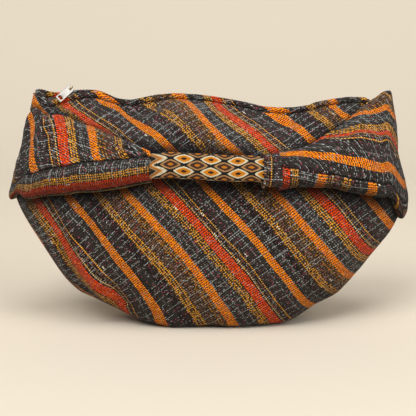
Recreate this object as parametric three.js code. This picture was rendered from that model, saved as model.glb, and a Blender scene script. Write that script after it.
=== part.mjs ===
// A small crescent bag of striped hand-woven cloth, with a zip along its top and
// its wide cloth strap folded down over the front, gathered in a woven band.
// Lengths are in mm. X runs to the right, the front faces -Y and Z is up.
// The bag rests on a flat patch at z = 0, under the origin.

import * as THREE from 'three';

// Body
const HALF_WIDTH = 204.7;
const HEIGHT = 238;
const FRONT_DEPTH = 84;
const BACK_DEPTH = 60;
const WALL = 2;
const SEAM_GAP = 0.3;
const SEAM_SHIFT = 8;
const SEAM_SHIFT_REACH = 0.5;
const SIDE_ROUNDING = 2.3;

// Mouth and its two rolled hems
const MOUTH_HALF_GAP = 7.5;
const HEM_HALF_THICK = 2.6;
const HEM_HALF_HEIGHT = 2.9;
const HEM_REACH_LEFT = 0.965;
const HEM_REACH_RIGHT = 0.93;
const FIT_GAP = 0.3;

// Zip
const CHAIN_WIDTH = 4.8;
const CHAIN_THICK = 2.2;
const CHAIN_RISE = 0.5;
const TAPE_THICK = 0.9;
const TAPE_WIDTH = 13;
const TAPE_PLAY = 0.2;
const ZIP_REACH = 0.9;
const SLIDER_ACROSS = -0.684;
const SLIDER_X = SLIDER_ACROSS * HALF_WIDTH;
const SLIDER_LENGTH = 10;
const SLIDER_WIDTH = 5;
const SLIDER_POST = 2.4;
const SLIDER_PLATE = 1.3;
const SLIDER_PLAY = 0.3;
const ROD_RADIUS = 0.65;
const EYE_RADIUS = 1.9;
const EYE_RISE = 8.8;
const EYE_REACH = 7;
const PULL_LENGTH = 20.2;
const PULL_WIDTH = 7.5;
const PULL_THICK = 1.2;
const PULL_BAR = 1.3;
const PULL_WINDOW_LENGTH = 3;
const PULL_WINDOW_WIDTH = 4.8;
const PULL_WINDOW_RIM = 2.1;
const PULL_CORNER = 0.8;
const PULL_SLOT_WIDTH = 2.6;
const SLOT_PLAY = 0.5;
const PULL_SLOPE = [-0.66, -0.47, -0.585];

// Strap
const STRAP_WALL = 2;
const STRAP_SEAT = 1.2;
const STRAP_FOLD = 2.6;
const STRAP_PUFF = 13;
const STRAP_JOIN_GAP = 0.6;

// Woven band, the gathered strap inside it, and the cuff at its right end
const BAND_HEIGHT = 23.6;
const BAND_THICK = 12.4;
const BAND_WALL = 1.6;
const CUFF_WIDTH = 13.6;
const CUFF_WALL = 2.6;
const CUFF_LAP = 4;

// Half width over height: share of the height, then shares of HALF_WIDTH.
const SIDES = [
  { up: 0.000, left: 1.000, right: 1.000 },
  { up: 0.500, left: 1.000, right: 1.000 },
  { up: 0.560, left: 0.996, right: 0.996 },
  { up: 0.613, left: 0.981, right: 0.983 },
  { up: 0.680, left: 0.953, right: 0.962 },
  { up: 0.756, left: 0.934, right: 0.940 },
  { up: 0.820, left: 0.913, right: 0.934 },
  { up: 0.890, left: 0.900, right: 0.927 },
  { up: 0.940, left: 0.906, right: 0.921 },
  { up: 1.000, left: 0.889, right: 0.906 },
];

// Underside outline: share across the bag, then share of the height.
const UNDERSIDE = [
  { across: -1.000, up: 0.5626 },
  { across: -0.969, up: 0.4980 },
  { across: -0.910, up: 0.4050 },
  { across: -0.860, up: 0.3350 },
  { across: -0.791, up: 0.2380 },
  { across: -0.744, up: 0.1780 },
  { across: -0.673, up: 0.1185 },
  { across: -0.593, up: 0.0902 },
  { across: -0.508, up: 0.0655 },
  { across: -0.414, up: 0.0390 },
  { across: -0.343, up: 0.0166 },
  { across: -0.281, up: 0.0087 },
  { across: -0.200, up: 0.0000 },
  { across: 0.200, up: 0.0000 },
  { across: 0.320, up: 0.0000 },
  { across: 0.414, up: 0.0060 },
  { across: 0.507, up: 0.0407 },
  { across: 0.602, up: 0.0833 },
  { across: 0.673, up: 0.1120 },
  { across: 0.730, up: 0.1630 },
  { across: 0.801, up: 0.2340 },
  { across: 0.851, up: 0.2920 },
  { across: 0.902, up: 0.3450 },
  { across: 0.949, up: 0.4000 },
  { across: 0.977, up: 0.4460 },
  { across: 0.992, up: 0.4780 },
  { across: 1.000, up: 0.5050 },
];

// Edge of the mouth: share across, then shares of the height, front and back.
const MOUTH = [
  { across: -1.000, front: 1.010, back: 1.010 },
  { across: -0.948, front: 0.986, back: 0.998 },
  { across: -0.913, front: 0.955, back: 0.990 },
  { across: -0.870, front: 0.955, back: 0.985 },
  { across: -0.840, front: 0.968, back: 0.987 },
  { across: -0.796, front: 0.977, back: 0.992 },
  { across: -0.743, front: 0.987, back: 0.997 },
  { across: -0.684, front: 0.992, back: 0.998 },
  { across: -0.640, front: 0.992, back: 0.996 },
  { across: -0.606, front: 0.985, back: 0.988 },
  { across: -0.550, front: 0.973, back: 0.968 },
  { across: -0.483, front: 0.962, back: 0.950 },
  { across: -0.430, front: 0.959, back: 0.944 },
  { across: -0.391, front: 0.965, back: 0.950 },
  { across: -0.293, front: 0.981, back: 0.966 },
  { across: -0.186, front: 0.988, back: 0.973 },
  { across: -0.068, front: 0.983, back: 0.968 },
  { across: 0.022, front: 0.975, back: 0.960 },
  { across: 0.110, front: 0.963, back: 0.948 },
  { across: 0.200, front: 0.950, back: 0.935 },
  { across: 0.290, front: 0.932, back: 0.917 },
  { across: 0.380, front: 0.926, back: 0.911 },
  { across: 0.470, front: 0.926, back: 0.911 },
  { across: 0.560, front: 0.937, back: 0.922 },
  { across: 0.605, front: 0.950, back: 0.935 },
  { across: 0.690, front: 0.963, back: 0.948 },
  { across: 0.780, front: 0.972, back: 0.957 },
  { across: 0.870, front: 0.970, back: 0.960 },
  { across: 1.000, front: 1.015, back: 1.010 },
];

// Section of a panel from the mouth down to the seam, at the middle and at the
// sides: out is a share of the depth, up a share of the height at that place.
const SECTION = [
  { out: 0.00, up: 1.00, sideOut: 0.00, sideUp: 1.000 },
  { out: 0.40, up: 0.95, sideOut: 0.38, sideUp: 0.930 },
  { out: 0.76, up: 0.87, sideOut: 0.72, sideUp: 0.820 },
  { out: 0.96, up: 0.72, sideOut: 0.94, sideUp: 0.660 },
  { out: 1.00, up: 0.54, sideOut: 1.00, sideUp: 0.480 },
  { out: 0.97, up: 0.36, sideOut: 0.93, sideUp: 0.300 },
  { out: 0.86, up: 0.19, sideOut: 0.72, sideUp: 0.150 },
  { out: 0.70, up: 0.06, sideOut: 0.42, sideUp: 0.050 },
  { out: 0.50, up: 0.00, sideOut: 0.15, sideUp: 0.008 },
  { out: 0.00, up: 0.00, sideOut: 0.00, sideUp: 0.000 },
];

// Middle of the grip: share across, then share down the front.
const GRIP = [
  { across: -0.281, down: 0.3172 },
  { across: -0.100, down: 0.3195 },
  { across: 0.100, down: 0.3175 },
  { across: 0.290, down: 0.3050 },
  { across: 0.341, down: 0.3030 },
];

// How far a step down the panel counts beside a step across it, in GATHERS.
const DOWN_PER_ACROSS = 1.75;

// Gathers of the front: from and to as shares across and down the panel, with
// the half width as a share across and the swell as a share of the depth.
const GATHERS = [
  { across: -0.42, down: 0.00, toAcross: -0.37, toDown: 0.17, reach: 0.075, swell: -0.050 },
  { across: -0.17, down: 0.00, toAcross: -0.12, toDown: 0.20, reach: 0.100, swell: 0.035 },
  { across: 0.42, down: 0.00, toAcross: 0.38, toDown: 0.17, reach: 0.110, swell: -0.055 },
  { across: 0.72, down: 0.00, toAcross: 0.62, toDown: 0.14, reach: 0.090, swell: 0.035 },
  { across: -0.80, down: 0.02, toAcross: -0.66, toDown: 0.13, reach: 0.050, swell: -0.045 },
  { across: -0.93, down: 0.03, toAcross: -0.74, toDown: 0.11, reach: 0.045, swell: 0.040 },
  { across: -0.33, down: 0.40, toAcross: -0.56, toDown: 0.72, reach: 0.070, swell: 0.030 },
  { across: -0.10, down: 0.42, toAcross: -0.16, toDown: 0.78, reach: 0.080, swell: -0.028 },
  { across: 0.36, down: 0.40, toAcross: 0.52, toDown: 0.74, reach: 0.080, swell: 0.030 },
  { across: 0.12, down: 0.44, toAcross: 0.20, toDown: 0.80, reach: 0.070, swell: -0.024 },
];

// Strap from the side seam to the grip: where its top fold, its long seam and
// its lower fold lie on the front panel (shares across and down it), and how
// far it stands out (share of STRAP_PUFF).
const LEFT_STRAP = [
  { topA: -1.000, topD: 0.209, seamA: -1.000, seamD: 0.695, foldA: -1.000, foldD: 0.929, puff: 0.05 },
  { topA: -0.965, topD: 0.174, seamA: -0.922, seamD: 0.475, foldA: -0.961, foldD: 0.641, puff: 0.38 },
  { topA: -0.932, topD: 0.126, seamA: -0.865, seamD: 0.407, foldA: -0.888, foldD: 0.528, puff: 0.70 },
  { topA: -0.816, topD: 0.133, seamA: -0.778, seamD: 0.351, foldA: -0.786, foldD: 0.439, puff: 0.92 },
  { topA: -0.674, topD: 0.180, seamA: -0.660, seamD: 0.317, foldA: -0.667, foldD: 0.395, puff: 1.00 },
  { topA: -0.575, topD: 0.196, seamA: -0.563, seamD: 0.300, foldA: -0.561, foldD: 0.377, puff: 1.00 },
  { topA: -0.477, topD: 0.215, seamA: -0.462, seamD: 0.290, foldA: -0.460, foldD: 0.363, puff: 0.92 },
  { topA: -0.385, topD: 0.243, seamA: -0.368, seamD: 0.288, foldA: -0.372, foldD: 0.358, puff: 0.77 },
  { topA: -0.300, topD: 0.276, seamA: -0.281, seamD: 0.294, foldA: -0.281, foldD: 0.356, puff: 0.62 },
];
const RIGHT_STRAP = [
  { topA: 1.000, topD: 0.000, seamA: 1.000, seamD: 0.731, foldA: 1.000, foldD: 0.985, puff: 0.05 },
  { topA: 0.978, topD: 0.016, seamA: 0.905, seamD: 0.482, foldA: 0.924, foldD: 0.560, puff: 0.38 },
  { topA: 0.941, topD: 0.039, seamA: 0.834, seamD: 0.419, foldA: 0.845, foldD: 0.470, puff: 0.70 },
  { topA: 0.853, topD: 0.066, seamA: 0.753, seamD: 0.372, foldA: 0.747, foldD: 0.408, puff: 0.92 },
  { topA: 0.754, topD: 0.143, seamA: 0.657, seamD: 0.337, foldA: 0.648, foldD: 0.365, puff: 1.00 },
  { topA: 0.638, topD: 0.184, seamA: 0.565, seamD: 0.317, foldA: 0.552, foldD: 0.344, puff: 1.00 },
  { topA: 0.514, topD: 0.217, seamA: 0.458, seamD: 0.297, foldA: 0.451, foldD: 0.335, puff: 0.92 },
  { topA: 0.417, topD: 0.231, seamA: 0.382, seamD: 0.292, foldA: 0.375, foldD: 0.344, puff: 0.80 },
  { topA: 0.364, topD: 0.242, seamA: 0.341, seamD: 0.289, foldA: 0.341, foldD: 0.351, puff: 0.72 },
];

// Loop of the strap around itself: run is 0 at the top fold, 1 at the seam and 2
// at the lower fold; fold and puff are shares of STRAP_FOLD and of the puff.
const OUTER_LAYER = [
  { run: 0.26, fold: 0.0, puff: 0.00 },
  { run: 0.04, fold: 0.0, puff: 0.00 },
  { run: 0.00, fold: 0.5, puff: 0.02 },
  { run: 0.04, fold: 1.0, puff: 0.08 },
  { run: 0.20, fold: 1.0, puff: 0.42 },
  { run: 0.45, fold: 1.0, puff: 0.80 },
  { run: 0.75, fold: 1.0, puff: 1.00 },
  { run: 1.00, fold: 1.0, puff: 1.00 },
];
const UNDER_LAYER = [
  { run: 1.00, fold: 1.0, puff: 1.00 },
  { run: 1.35, fold: 1.0, puff: 0.92 },
  { run: 1.70, fold: 1.0, puff: 0.70 },
  { run: 1.93, fold: 1.0, puff: 0.30 },
  { run: 2.00, fold: 0.5, puff: 0.06 },
  { run: 1.93, fold: 0.0, puff: 0.00 },
  { run: 1.60, fold: 0.0, puff: 0.00 },
  { run: 1.25, fold: 0.0, puff: 0.00 },
  { run: 0.95, fold: 0.0, puff: 0.00 },
  { run: 0.72, fold: 0.0, puff: 0.00 },
  { run: 0.50, fold: 0.0, puff: 0.00 },
];

// Photo colours
const COLOUR = {
  cloth: 0x74503a,
  back: 0x6d4c38,
  hem: 0x8a5a38,
  strap: 0x7d5236,
  under: 0x5f4432,
  cuff: 0x5a4634,
  band: 0xc59a4a,
  tape: 0x3a332e,
  chain: 0x2c2825,
  metal: 0xcfcbc2,
  brass: 0xb4934f,
};

const lerp = (a, b, f) => a + (b - a) * f;
const clamp = (x, low, high) => Math.min(high, Math.max(low, x));

function ease(from, to, x) {
  const f = clamp((x - from) / (to - from), 0, 1);
  return f * f * (3 - 2 * f);
}

// Straight interpolation in a table, by its first column.
function lookUp(table, key, column, x) {
  for (let i = 1; i < table.length; i++) {
    const a = table[i - 1];
    const b = table[i];
    if (x <= b[key] || i === table.length - 1) {
      const f = clamp((x - a[key]) / (b[key] - a[key]), 0, 1);
      return lerp(a[column], b[column], f);
    }
  }
}

// Smooth curve through evenly spaced rows; t runs from 0 to 1.
function through(rows, column, t) {
  const last = rows.length - 1;
  const place = clamp(t, 0, 1) * last;
  const i = Math.min(Math.floor(place), last - 1);
  const f = place - i;
  const a = rows[Math.max(i - 1, 0)][column];
  const b = rows[i][column];
  const c = rows[i + 1][column];
  const d = rows[Math.min(i + 2, last)][column];
  const cubic = 3 * b - a - 3 * c + d;
  return 0.5 * (2 * b + (c - a) * f + (2 * a - 5 * b + 4 * c - d) * f * f + cubic * f ** 3);
}

// Form of the body

function halfWidth(z, across) {
  return HALF_WIDTH * lookUp(SIDES, 'up', across < 0 ? 'left' : 'right', z / HEIGHT);
}

function bulge(across) {
  return Math.sqrt(Math.max(0, 1 - Math.abs(across) ** SIDE_ROUNDING));
}

function gather(across, down) {
  let swell = 0;
  for (const g of GATHERS) {
    const runA = g.toAcross - g.across;
    const runD = (g.toDown - g.down) * DOWN_PER_ACROSS;
    const offA = across - g.across;
    const offD = (down - g.down) * DOWN_PER_ACROSS;
    const f = clamp((offA * runA + offD * runD) / (runA * runA + runD * runD), 0, 1);
    const far = Math.hypot(offA - f * runA, offD - f * runD) / g.reach;
    swell += g.swell * Math.exp(-far * far);
  }
  return swell * FRONT_DEPTH * ease(0, 0.06, down) * (1 - ease(0.75, 0.88, down));
}

// Point of a panel's outer face; across runs from -1 to 1, down from 0 at the
// mouth to 1 at the seam under the bag.
function bodyPoint(across, down, side) {
  const toSide = ease(0.15, 0.75, Math.abs(across));
  const out = lerp(through(SECTION, 'out', down), through(SECTION, 'sideOut', down), toSide);
  const up = lerp(through(SECTION, 'up', down), through(SECTION, 'sideUp', down), toSide);
  const low = HEIGHT * lookUp(UNDERSIDE, 'across', 'up', across);
  const high = HEIGHT * lookUp(MOUTH, 'across', side < 0 ? 'front' : 'back', across);
  const plainZ = lerp(low, high, clamp(up, 0, 1));
  const depth = (side < 0 ? FRONT_DEPTH : BACK_DEPTH) * bulge(across);
  const mouth = MOUTH_HALF_GAP * Math.min(1, bulge(across) * 2.2) * (1 - ease(0, 0.25, down));
  const swell = side < 0 ? gather(across, down) * bulge(across) : 0;
  const roof = 1 - ease(0.1, 0.45, down);
  const shift = SEAM_SHIFT * Math.max(0, 1 - (across / SEAM_SHIFT_REACH) ** 2) * ease(0.85, 1, down);
  const out3 = depth * Math.max(0, out) + mouth + SEAM_GAP / 2 + swell * (1 - roof);
  return new THREE.Vector3(across * halfWidth(plainZ, across), side * out3 + shift, plainZ + swell * roof);
}

function panelNormal(across, down, side) {
  const a = clamp(across, -0.998, 0.998);
  const d = clamp(down, 0.002, 0.985);
  const alongA = bodyPoint(a + 0.001, d, side).sub(bodyPoint(a - 0.001, d, side));
  const alongD = bodyPoint(a, d + 0.002, side).sub(bodyPoint(a, d - 0.002, side));
  return alongD.cross(alongA).normalize().multiplyScalar(-side);
}

// Point that stands off the front panel by lift.
function onFront(across, down, lift) {
  return bodyPoint(across, down, -1).addScaledVector(panelNormal(across, down, -1), lift);
}

function mmPerDown(across, down) {
  return bodyPoint(across, down + 0.02, -1).distanceTo(bodyPoint(across, down - 0.02, -1)) / 0.04;
}

// Solids from grids of points

// Wraps a list of vertices and quads as a mesh whose faces look outward.
function closedMesh(points, quads, caps = []) {
  const index = [];
  for (const [a, b, c, d] of quads) {
    index.push(a, b, c, a, c, d);
  }
  for (const [a, b, c] of caps) {
    index.push(a, b, c);
  }
  let volume = 0;
  for (let i = 0; i < index.length; i += 3) {
    const [a, b, c] = [points[index[i]], points[index[i + 1]], points[index[i + 2]]];
    volume += a.dot(b.clone().cross(c));
  }
  if (volume < 0) {
    index.reverse();
  }
  const geometry = new THREE.BufferGeometry();
  geometry.setAttribute('position', new THREE.Float32BufferAttribute(points.flatMap((p) => [p.x, p.y, p.z]), 3));
  geometry.setIndex(index);
  geometry.computeVertexNormals();
  return geometry;
}

// Sheet between an outer and an inner grid, closed along its four edges.
function slab(outer, inner) {
  const rows = outer.length;
  const columns = outer[0].length;
  const points = [...outer.flat(), ...inner.flat()];
  const o = (i, j) => i * columns + j;
  const n = (i, j) => rows * columns + i * columns + j;
  const quads = [];
  for (let i = 0; i < rows - 1; i++) {
    for (let j = 0; j < columns - 1; j++) {
      quads.push([o(i, j), o(i, j + 1), o(i + 1, j + 1), o(i + 1, j)]);
      quads.push([n(i, j), n(i + 1, j), n(i + 1, j + 1), n(i, j + 1)]);
    }
    quads.push([o(i, 0), o(i + 1, 0), n(i + 1, 0), n(i, 0)]);
    quads.push([o(i + 1, columns - 1), o(i, columns - 1), n(i, columns - 1), n(i + 1, columns - 1)]);
  }
  for (let j = 0; j < columns - 1; j++) {
    quads.push([o(0, j + 1), o(0, j), n(0, j), n(0, j + 1)]);
    quads.push([o(rows - 1, j), o(rows - 1, j + 1), n(rows - 1, j + 1), n(rows - 1, j)]);
  }
  return closedMesh(points, quads);
}

function gridNormals(grid) {
  const rows = grid.length;
  const columns = grid[0].length;
  return grid.map((row, i) => row.map((_, j) => {
    const alongI = grid[Math.min(i + 1, rows - 1)][j].clone().sub(grid[Math.max(i - 1, 0)][j]);
    const alongJ = grid[i][Math.min(j + 1, columns - 1)].clone().sub(grid[i][Math.max(j - 1, 0)]);
    return alongI.cross(alongJ).normalize();
  }));
}

function offsetGrid(grid, normals, distance) {
  return grid.map((row, i) => row.map((p, j) => p.clone().addScaledVector(normals[i][j], distance)));
}

// Sheet of even thickness around a middle surface.
function thickSheet(middle, thickness) {
  const normals = gridNormals(middle);
  return slab(offsetGrid(middle, normals, thickness / 2), offsetGrid(middle, normals, -thickness / 2));
}

// Bar through closed rings of equal size, with flat ends.
function bar(rings) {
  const size = rings[0].length;
  const points = rings.flat();
  const quads = [];
  for (let i = 0; i < rings.length - 1; i++) {
    for (let j = 0; j < size; j++) {
      const k = (j + 1) % size;
      quads.push([i * size + j, i * size + k, (i + 1) * size + k, (i + 1) * size + j]);
    }
  }
  const caps = [];
  const last = (rings.length - 1) * size;
  for (let j = 1; j < size - 1; j++) {
    caps.push([0, j + 1, j], [last, last + j, last + j + 1]);
  }
  return closedMesh(points, quads, caps);
}

// Pipe between outer and inner rings, with ring-shaped ends.
function pipe(outer, inner) {
  const size = outer[0].length;
  const count = outer.length;
  const points = [...outer.flat(), ...inner.flat()];
  const o = (i, j) => i * size + (j % size);
  const n = (i, j) => (count + i) * size + (j % size);
  const quads = [];
  for (let j = 0; j < size; j++) {
    for (let i = 0; i < count - 1; i++) {
      quads.push([o(i, j), o(i, j + 1), o(i + 1, j + 1), o(i + 1, j)]);
      quads.push([n(i, j), n(i + 1, j), n(i + 1, j + 1), n(i, j + 1)]);
    }
    quads.push([o(0, j + 1), o(0, j), n(0, j), n(0, j + 1)]);
    quads.push([o(count - 1, j), o(count - 1, j + 1), n(count - 1, j + 1), n(count - 1, j)]);
  }
  return closedMesh(points, quads);
}

// Rings of a round or oval bar along a path; the first half size lies along
// the reference direction.
function ringsAlong(path, reference, halfA, halfB, size) {
  return path.map((p, i) => {
    const ahead = path[Math.min(i + 1, path.length - 1)].clone().sub(path[Math.max(i - 1, 0)]).normalize();
    const axisB = ahead.clone().cross(reference).normalize();
    const axisA = axisB.clone().cross(ahead).normalize();
    return Array.from({ length: size }, (_, j) => {
      const turn = (2 * Math.PI * (j + 0.5)) / size;
      return p.clone().addScaledVector(axisA, halfA * Math.cos(turn)).addScaledVector(axisB, halfB * Math.sin(turn));
    });
  });
}

// Body panels

const STATIONS = Array.from({ length: 39 }, (_, i) => {
  const even = -1 + i / 19;
  return lerp(even, Math.sin((even * Math.PI) / 2), 0.6);
});

function panelFaces(side, rows) {
  const outer = STATIONS.map((across) => Array.from({ length: rows + 1 }, (_, j) => bodyPoint(across, j / rows, side)));
  const normals = gridNormals(outer);
  const inner = outer.map((row, i) => row.map((p, j) => {
    const normal = normals[i][j].clone().multiplyScalar(-side);
    const onSeam = i === 0 || i === STATIONS.length - 1 || j === rows;
    if (onSeam) {
      normal.y = 0;
      normal.normalize();
    }
    return p.clone().addScaledVector(normal, WALL);
  }));
  return { outer, inner };
}

const FRONT = panelFaces(-1, 18);
const BACK = panelFaces(1, 11);

// Mouth: hems, zip tapes and chain

const UP = new THREE.Vector3(0, 0, 1);

function mouthPath(side, from, to) {
  return STATIONS.filter((across) => across >= from && across <= to).map((across) => bodyPoint(across, 0, side));
}

function hem(side, from, to) {
  const lip = mouthPath(side, from, to);
  const path = lip.map((p, i) => {
    const ahead = lip[Math.min(i + 1, lip.length - 1)].clone().sub(lip[Math.max(i - 1, 0)]);
    const away = new THREE.Vector3(-ahead.z, 0, ahead.x).normalize();
    return p.clone().addScaledVector(away, HEM_HALF_HEIGHT + FIT_GAP);
  });
  return bar(ringsAlong(path, UP, HEM_HALF_HEIGHT, HEM_HALF_THICK, 8));
}

function chainHeight(across) {
  return Math.max(bodyPoint(across, 0, -1).z, bodyPoint(across, 0, 1).z) + CHAIN_RISE;
}

// The tape hangs from the chain and runs on under the panel's lip.
function tape(side) {
  const { inner } = side < 0 ? FRONT : BACK;
  const below = FIT_GAP + TAPE_PLAY + TAPE_THICK / 2;
  const besideChain = CHAIN_WIDTH / 2 + FIT_GAP + TAPE_THICK / 2;
  const besideHem = MOUTH_HALF_GAP - HEM_HALF_THICK - FIT_GAP - TAPE_THICK / 2;
  const rows = [];
  STATIONS.forEach((across, i) => {
    if (Math.abs(across) > ZIP_REACH) {
      return;
    }
    const under = (mm) => {
      const first = inner[i][1].distanceTo(inner[i][0]);
      const j = mm > first ? 1 : 0;
      const run = inner[i][j + 1].clone().sub(inner[i][j]).normalize();
      const away = new THREE.Vector3(0, side * run.z, -side * run.y).normalize();
      return inner[i][j].clone().addScaledVector(run, mm - j * first).addScaledVector(away, below);
    };
    const lip = inner[i][0];
    rows.push([
      new THREE.Vector3(lip.x, side * besideChain, chainHeight(across)),
      new THREE.Vector3(lip.x, side * besideHem, lip.z),
      under(0),
      under(TAPE_WIDTH),
    ]);
  });
  return thickSheet(rows, TAPE_THICK);
}

function chain() {
  const start = SLIDER_X - SLIDER_LENGTH / 2 + SLIDER_POST + FIT_GAP;
  const clear = SLIDER_X + SLIDER_LENGTH / 2 + 1;
  const across = STATIONS.filter((a) => a <= ZIP_REACH && bodyPoint(a, 0, -1).x > clear + 4);
  const path = across.map((a) => new THREE.Vector3(bodyPoint(a, 0, -1).x, 0, chainHeight(a)));
  path.unshift(new THREE.Vector3(start, 0, sliderHeight()), new THREE.Vector3(clear, 0, sliderHeight()));
  const rings = path.map((p) => [[1, 1], [-1, 1], [-1, -1], [1, -1]].map(([y, z]) => (
    new THREE.Vector3(p.x, (y * CHAIN_WIDTH) / 2, p.z + (z * CHAIN_THICK) / 2)
  )));
  return bar(rings);
}

// Slider, its bridge and the pull

const sliderHeight = () => chainHeight(SLIDER_X / halfWidth(HEIGHT, -1));
const sliderHalfHeight = CHAIN_THICK / 2 + SLIDER_PLAY + SLIDER_PLATE;
const pullAlong = new THREE.Vector3(...PULL_SLOPE).normalize();
const pullAcross = new THREE.Vector3(-pullAlong.z, 0, pullAlong.x).normalize();
const pullFace = pullAlong.clone().cross(pullAcross);
const pivot = new THREE.Vector3(SLIDER_X - 1.5, -EYE_REACH, sliderHeight() + EYE_RISE);

function slider() {
  const gap = CHAIN_THICK / 2 + SLIDER_PLAY;
  const back = SLIDER_X - SLIDER_LENGTH / 2;
  const shape = new THREE.Shape([
    [back, -sliderHalfHeight],
    [back + SLIDER_LENGTH, -sliderHalfHeight],
    [back + SLIDER_LENGTH, -gap],
    [back + SLIDER_POST, -gap],
    [back + SLIDER_POST, gap],
    [back + SLIDER_LENGTH, gap],
    [back + SLIDER_LENGTH, sliderHalfHeight],
    [back, sliderHalfHeight],
  ].map(([x, z]) => new THREE.Vector2(x, z)));
  const geometry = new THREE.ExtrudeGeometry(shape, { depth: SLIDER_WIDTH, bevelEnabled: false });
  geometry.rotateX(Math.PI / 2);
  geometry.translate(0, SLIDER_WIDTH / 2, sliderHeight());
  return geometry;
}

// Rod that rises from the slider and curls through the slot of the pull.
function bridge() {
  const curlStart = pivot.clone().addScaledVector(pullFace, -EYE_RADIUS);
  const foot = new THREE.Vector3(curlStart.x, curlStart.y / 2, sliderHeight() + sliderHalfHeight + FIT_GAP);
  const path = [foot, foot.clone().lerp(curlStart, 0.4), foot.clone().lerp(curlStart, 0.75)];
  for (let turn = 10; turn <= 290; turn += 20) {
    const angle = THREE.MathUtils.degToRad(turn);
    path.push(pivot.clone()
      .addScaledVector(pullFace, -EYE_RADIUS * Math.cos(angle))
      .addScaledVector(pullAlong, -EYE_RADIUS * Math.sin(angle)));
  }
  return bar(ringsAlong(path, pullAcross, ROD_RADIUS, ROD_RADIUS, 8));
}

function roundedBox(fromX, toX, halfWide, radius, Kind) {
  const shape = new Kind();
  shape.moveTo(fromX + radius, -halfWide);
  shape.lineTo(toX - radius, -halfWide);
  shape.quadraticCurveTo(toX, -halfWide, toX, -halfWide + radius);
  shape.lineTo(toX, halfWide - radius);
  shape.quadraticCurveTo(toX, halfWide, toX - radius, halfWide);
  shape.lineTo(fromX + radius, halfWide);
  shape.quadraticCurveTo(fromX, halfWide, fromX, halfWide - radius);
  shape.lineTo(fromX, -halfWide + radius);
  shape.quadraticCurveTo(fromX, -halfWide, fromX + radius, -halfWide);
  return shape;
}

function pull() {
  const end = PULL_LENGTH - PULL_BAR / 2;
  const shape = roundedBox(-PULL_BAR / 2, end, PULL_WIDTH / 2, PULL_CORNER, THREE.Shape);
  const slotEnd = EYE_RADIUS + ROD_RADIUS + SLOT_PLAY;
  const windowEnd = end - PULL_WINDOW_RIM;
  shape.holes.push(
    roundedBox(PULL_BAR / 2, slotEnd, PULL_SLOT_WIDTH / 2, 0.5, THREE.Path),
    roundedBox(windowEnd - PULL_WINDOW_LENGTH, windowEnd, PULL_WINDOW_WIDTH / 2, 0.5, THREE.Path),
  );
  const geometry = new THREE.ExtrudeGeometry(shape, { depth: PULL_THICK, bevelEnabled: false, curveSegments: 4 });
  const turn = new THREE.Matrix4().makeBasis(pullAlong, pullAcross, pullFace);
  turn.setPosition(pivot.clone().addScaledVector(pullFace, -PULL_THICK / 2));
  return geometry.applyMatrix4(turn);
}

// Strap

function strapPoint(table, t, run, lift) {
  const at = (name) => through(table, name, t);
  const down = run <= 1 ? lerp(at('topD'), at('seamD'), run) : lerp(at('seamD'), at('foldD'), run - 1);
  const across = run <= 1 ? lerp(at('topA'), at('seamA'), run) : lerp(at('seamA'), at('foldA'), run - 1);
  return onFront(clamp(across, -1, 1), clamp(down, 0, 0.99), lift);
}

function strapLayer(table, layer, stations) {
  const rows = [];
  for (let i = 0; i <= stations; i++) {
    const t = (i / stations) ** 1.5;
    const stand = STRAP_PUFF * through(table, 'puff', t);
    const seat = STRAP_SEAT + STRAP_WALL / 2;
    const length = strapPoint(table, t, 0, seat).distanceTo(strapPoint(table, t, 1, seat));
    const nudge = STRAP_JOIN_GAP / 2 / length;
    rows.push(layer.map(({ run, fold, puff }, j) => {
      const atSeam = run === 1 && puff > 0;
      const place = atSeam ? run + (j === 0 ? nudge : -nudge) : run;
      return strapPoint(table, t, place, seat + STRAP_FOLD * fold + stand * puff);
    }));
  }
  return thickSheet(rows, STRAP_WALL);
}

// Band, the gathered strap inside it, and the cuff

const inAcross = (mm) => mm / HALF_WIDTH;
const gripStart = LEFT_STRAP.at(-1).seamA + inAcross(FIT_GAP);
const gripEnd = RIGHT_STRAP.at(-1).seamA - inAcross(FIT_GAP);
const cuffStart = gripEnd - inAcross(CUFF_WIDTH);
const bandEnd = cuffStart + inAcross(CUFF_LAP);

function gripRings(from, to, height, thick, steps, size) {
  return Array.from({ length: steps + 1 }, (_, i) => {
    const across = lerp(from, to, i / steps);
    const middle = lookUp(GRIP, 'across', 'down', across);
    const raised = CUFF_WALL + FIT_GAP;
    const lift = STRAP_SEAT + BAND_THICK / 2 + raised * ease(0, cuffStart, across);
    const scale = mmPerDown(across, middle);
    return Array.from({ length: size }, (_, j) => {
      const turn = (2 * Math.PI * (j + 0.5)) / size;
      const squared = (v) => Math.sign(v) * Math.abs(v) ** 0.75;
      const along = (height / 2) * squared(Math.cos(turn));
      return onFront(across, middle + along / scale, lift + (thick / 2) * squared(Math.sin(turn)));
    });
  });
}

function band() {
  const outer = gripRings(gripStart, bandEnd, BAND_HEIGHT, BAND_THICK, 12, 16);
  const inner = gripRings(gripStart, bandEnd, BAND_HEIGHT - 2 * BAND_WALL, BAND_THICK - 2 * BAND_WALL, 12, 16);
  return pipe(outer, inner);
}

function gripCore() {
  const inset = 2 * (BAND_WALL + FIT_GAP);
  return bar(gripRings(gripStart, gripEnd, BAND_HEIGHT - inset, BAND_THICK - inset, 12, 12));
}

function cuff() {
  const inside = 2 * FIT_GAP;
  const outside = 2 * (FIT_GAP + CUFF_WALL);
  const outer = gripRings(cuffStart, gripEnd, BAND_HEIGHT + outside, BAND_THICK + outside, 3, 16);
  const inner = gripRings(cuffStart, gripEnd, BAND_HEIGHT + inside, BAND_THICK + inside, 3, 16);
  return pipe(outer, inner);
}

const bag = new THREE.Group();

function add(name, geometry, colour, metalness = 0) {
  const roughness = metalness > 0 ? 0.35 : 0.9;
  const material = new THREE.MeshStandardMaterial({ color: colour, metalness, roughness });
  const mesh = new THREE.Mesh(geometry, material);
  mesh.name = name;
  bag.add(mesh);
}

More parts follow.
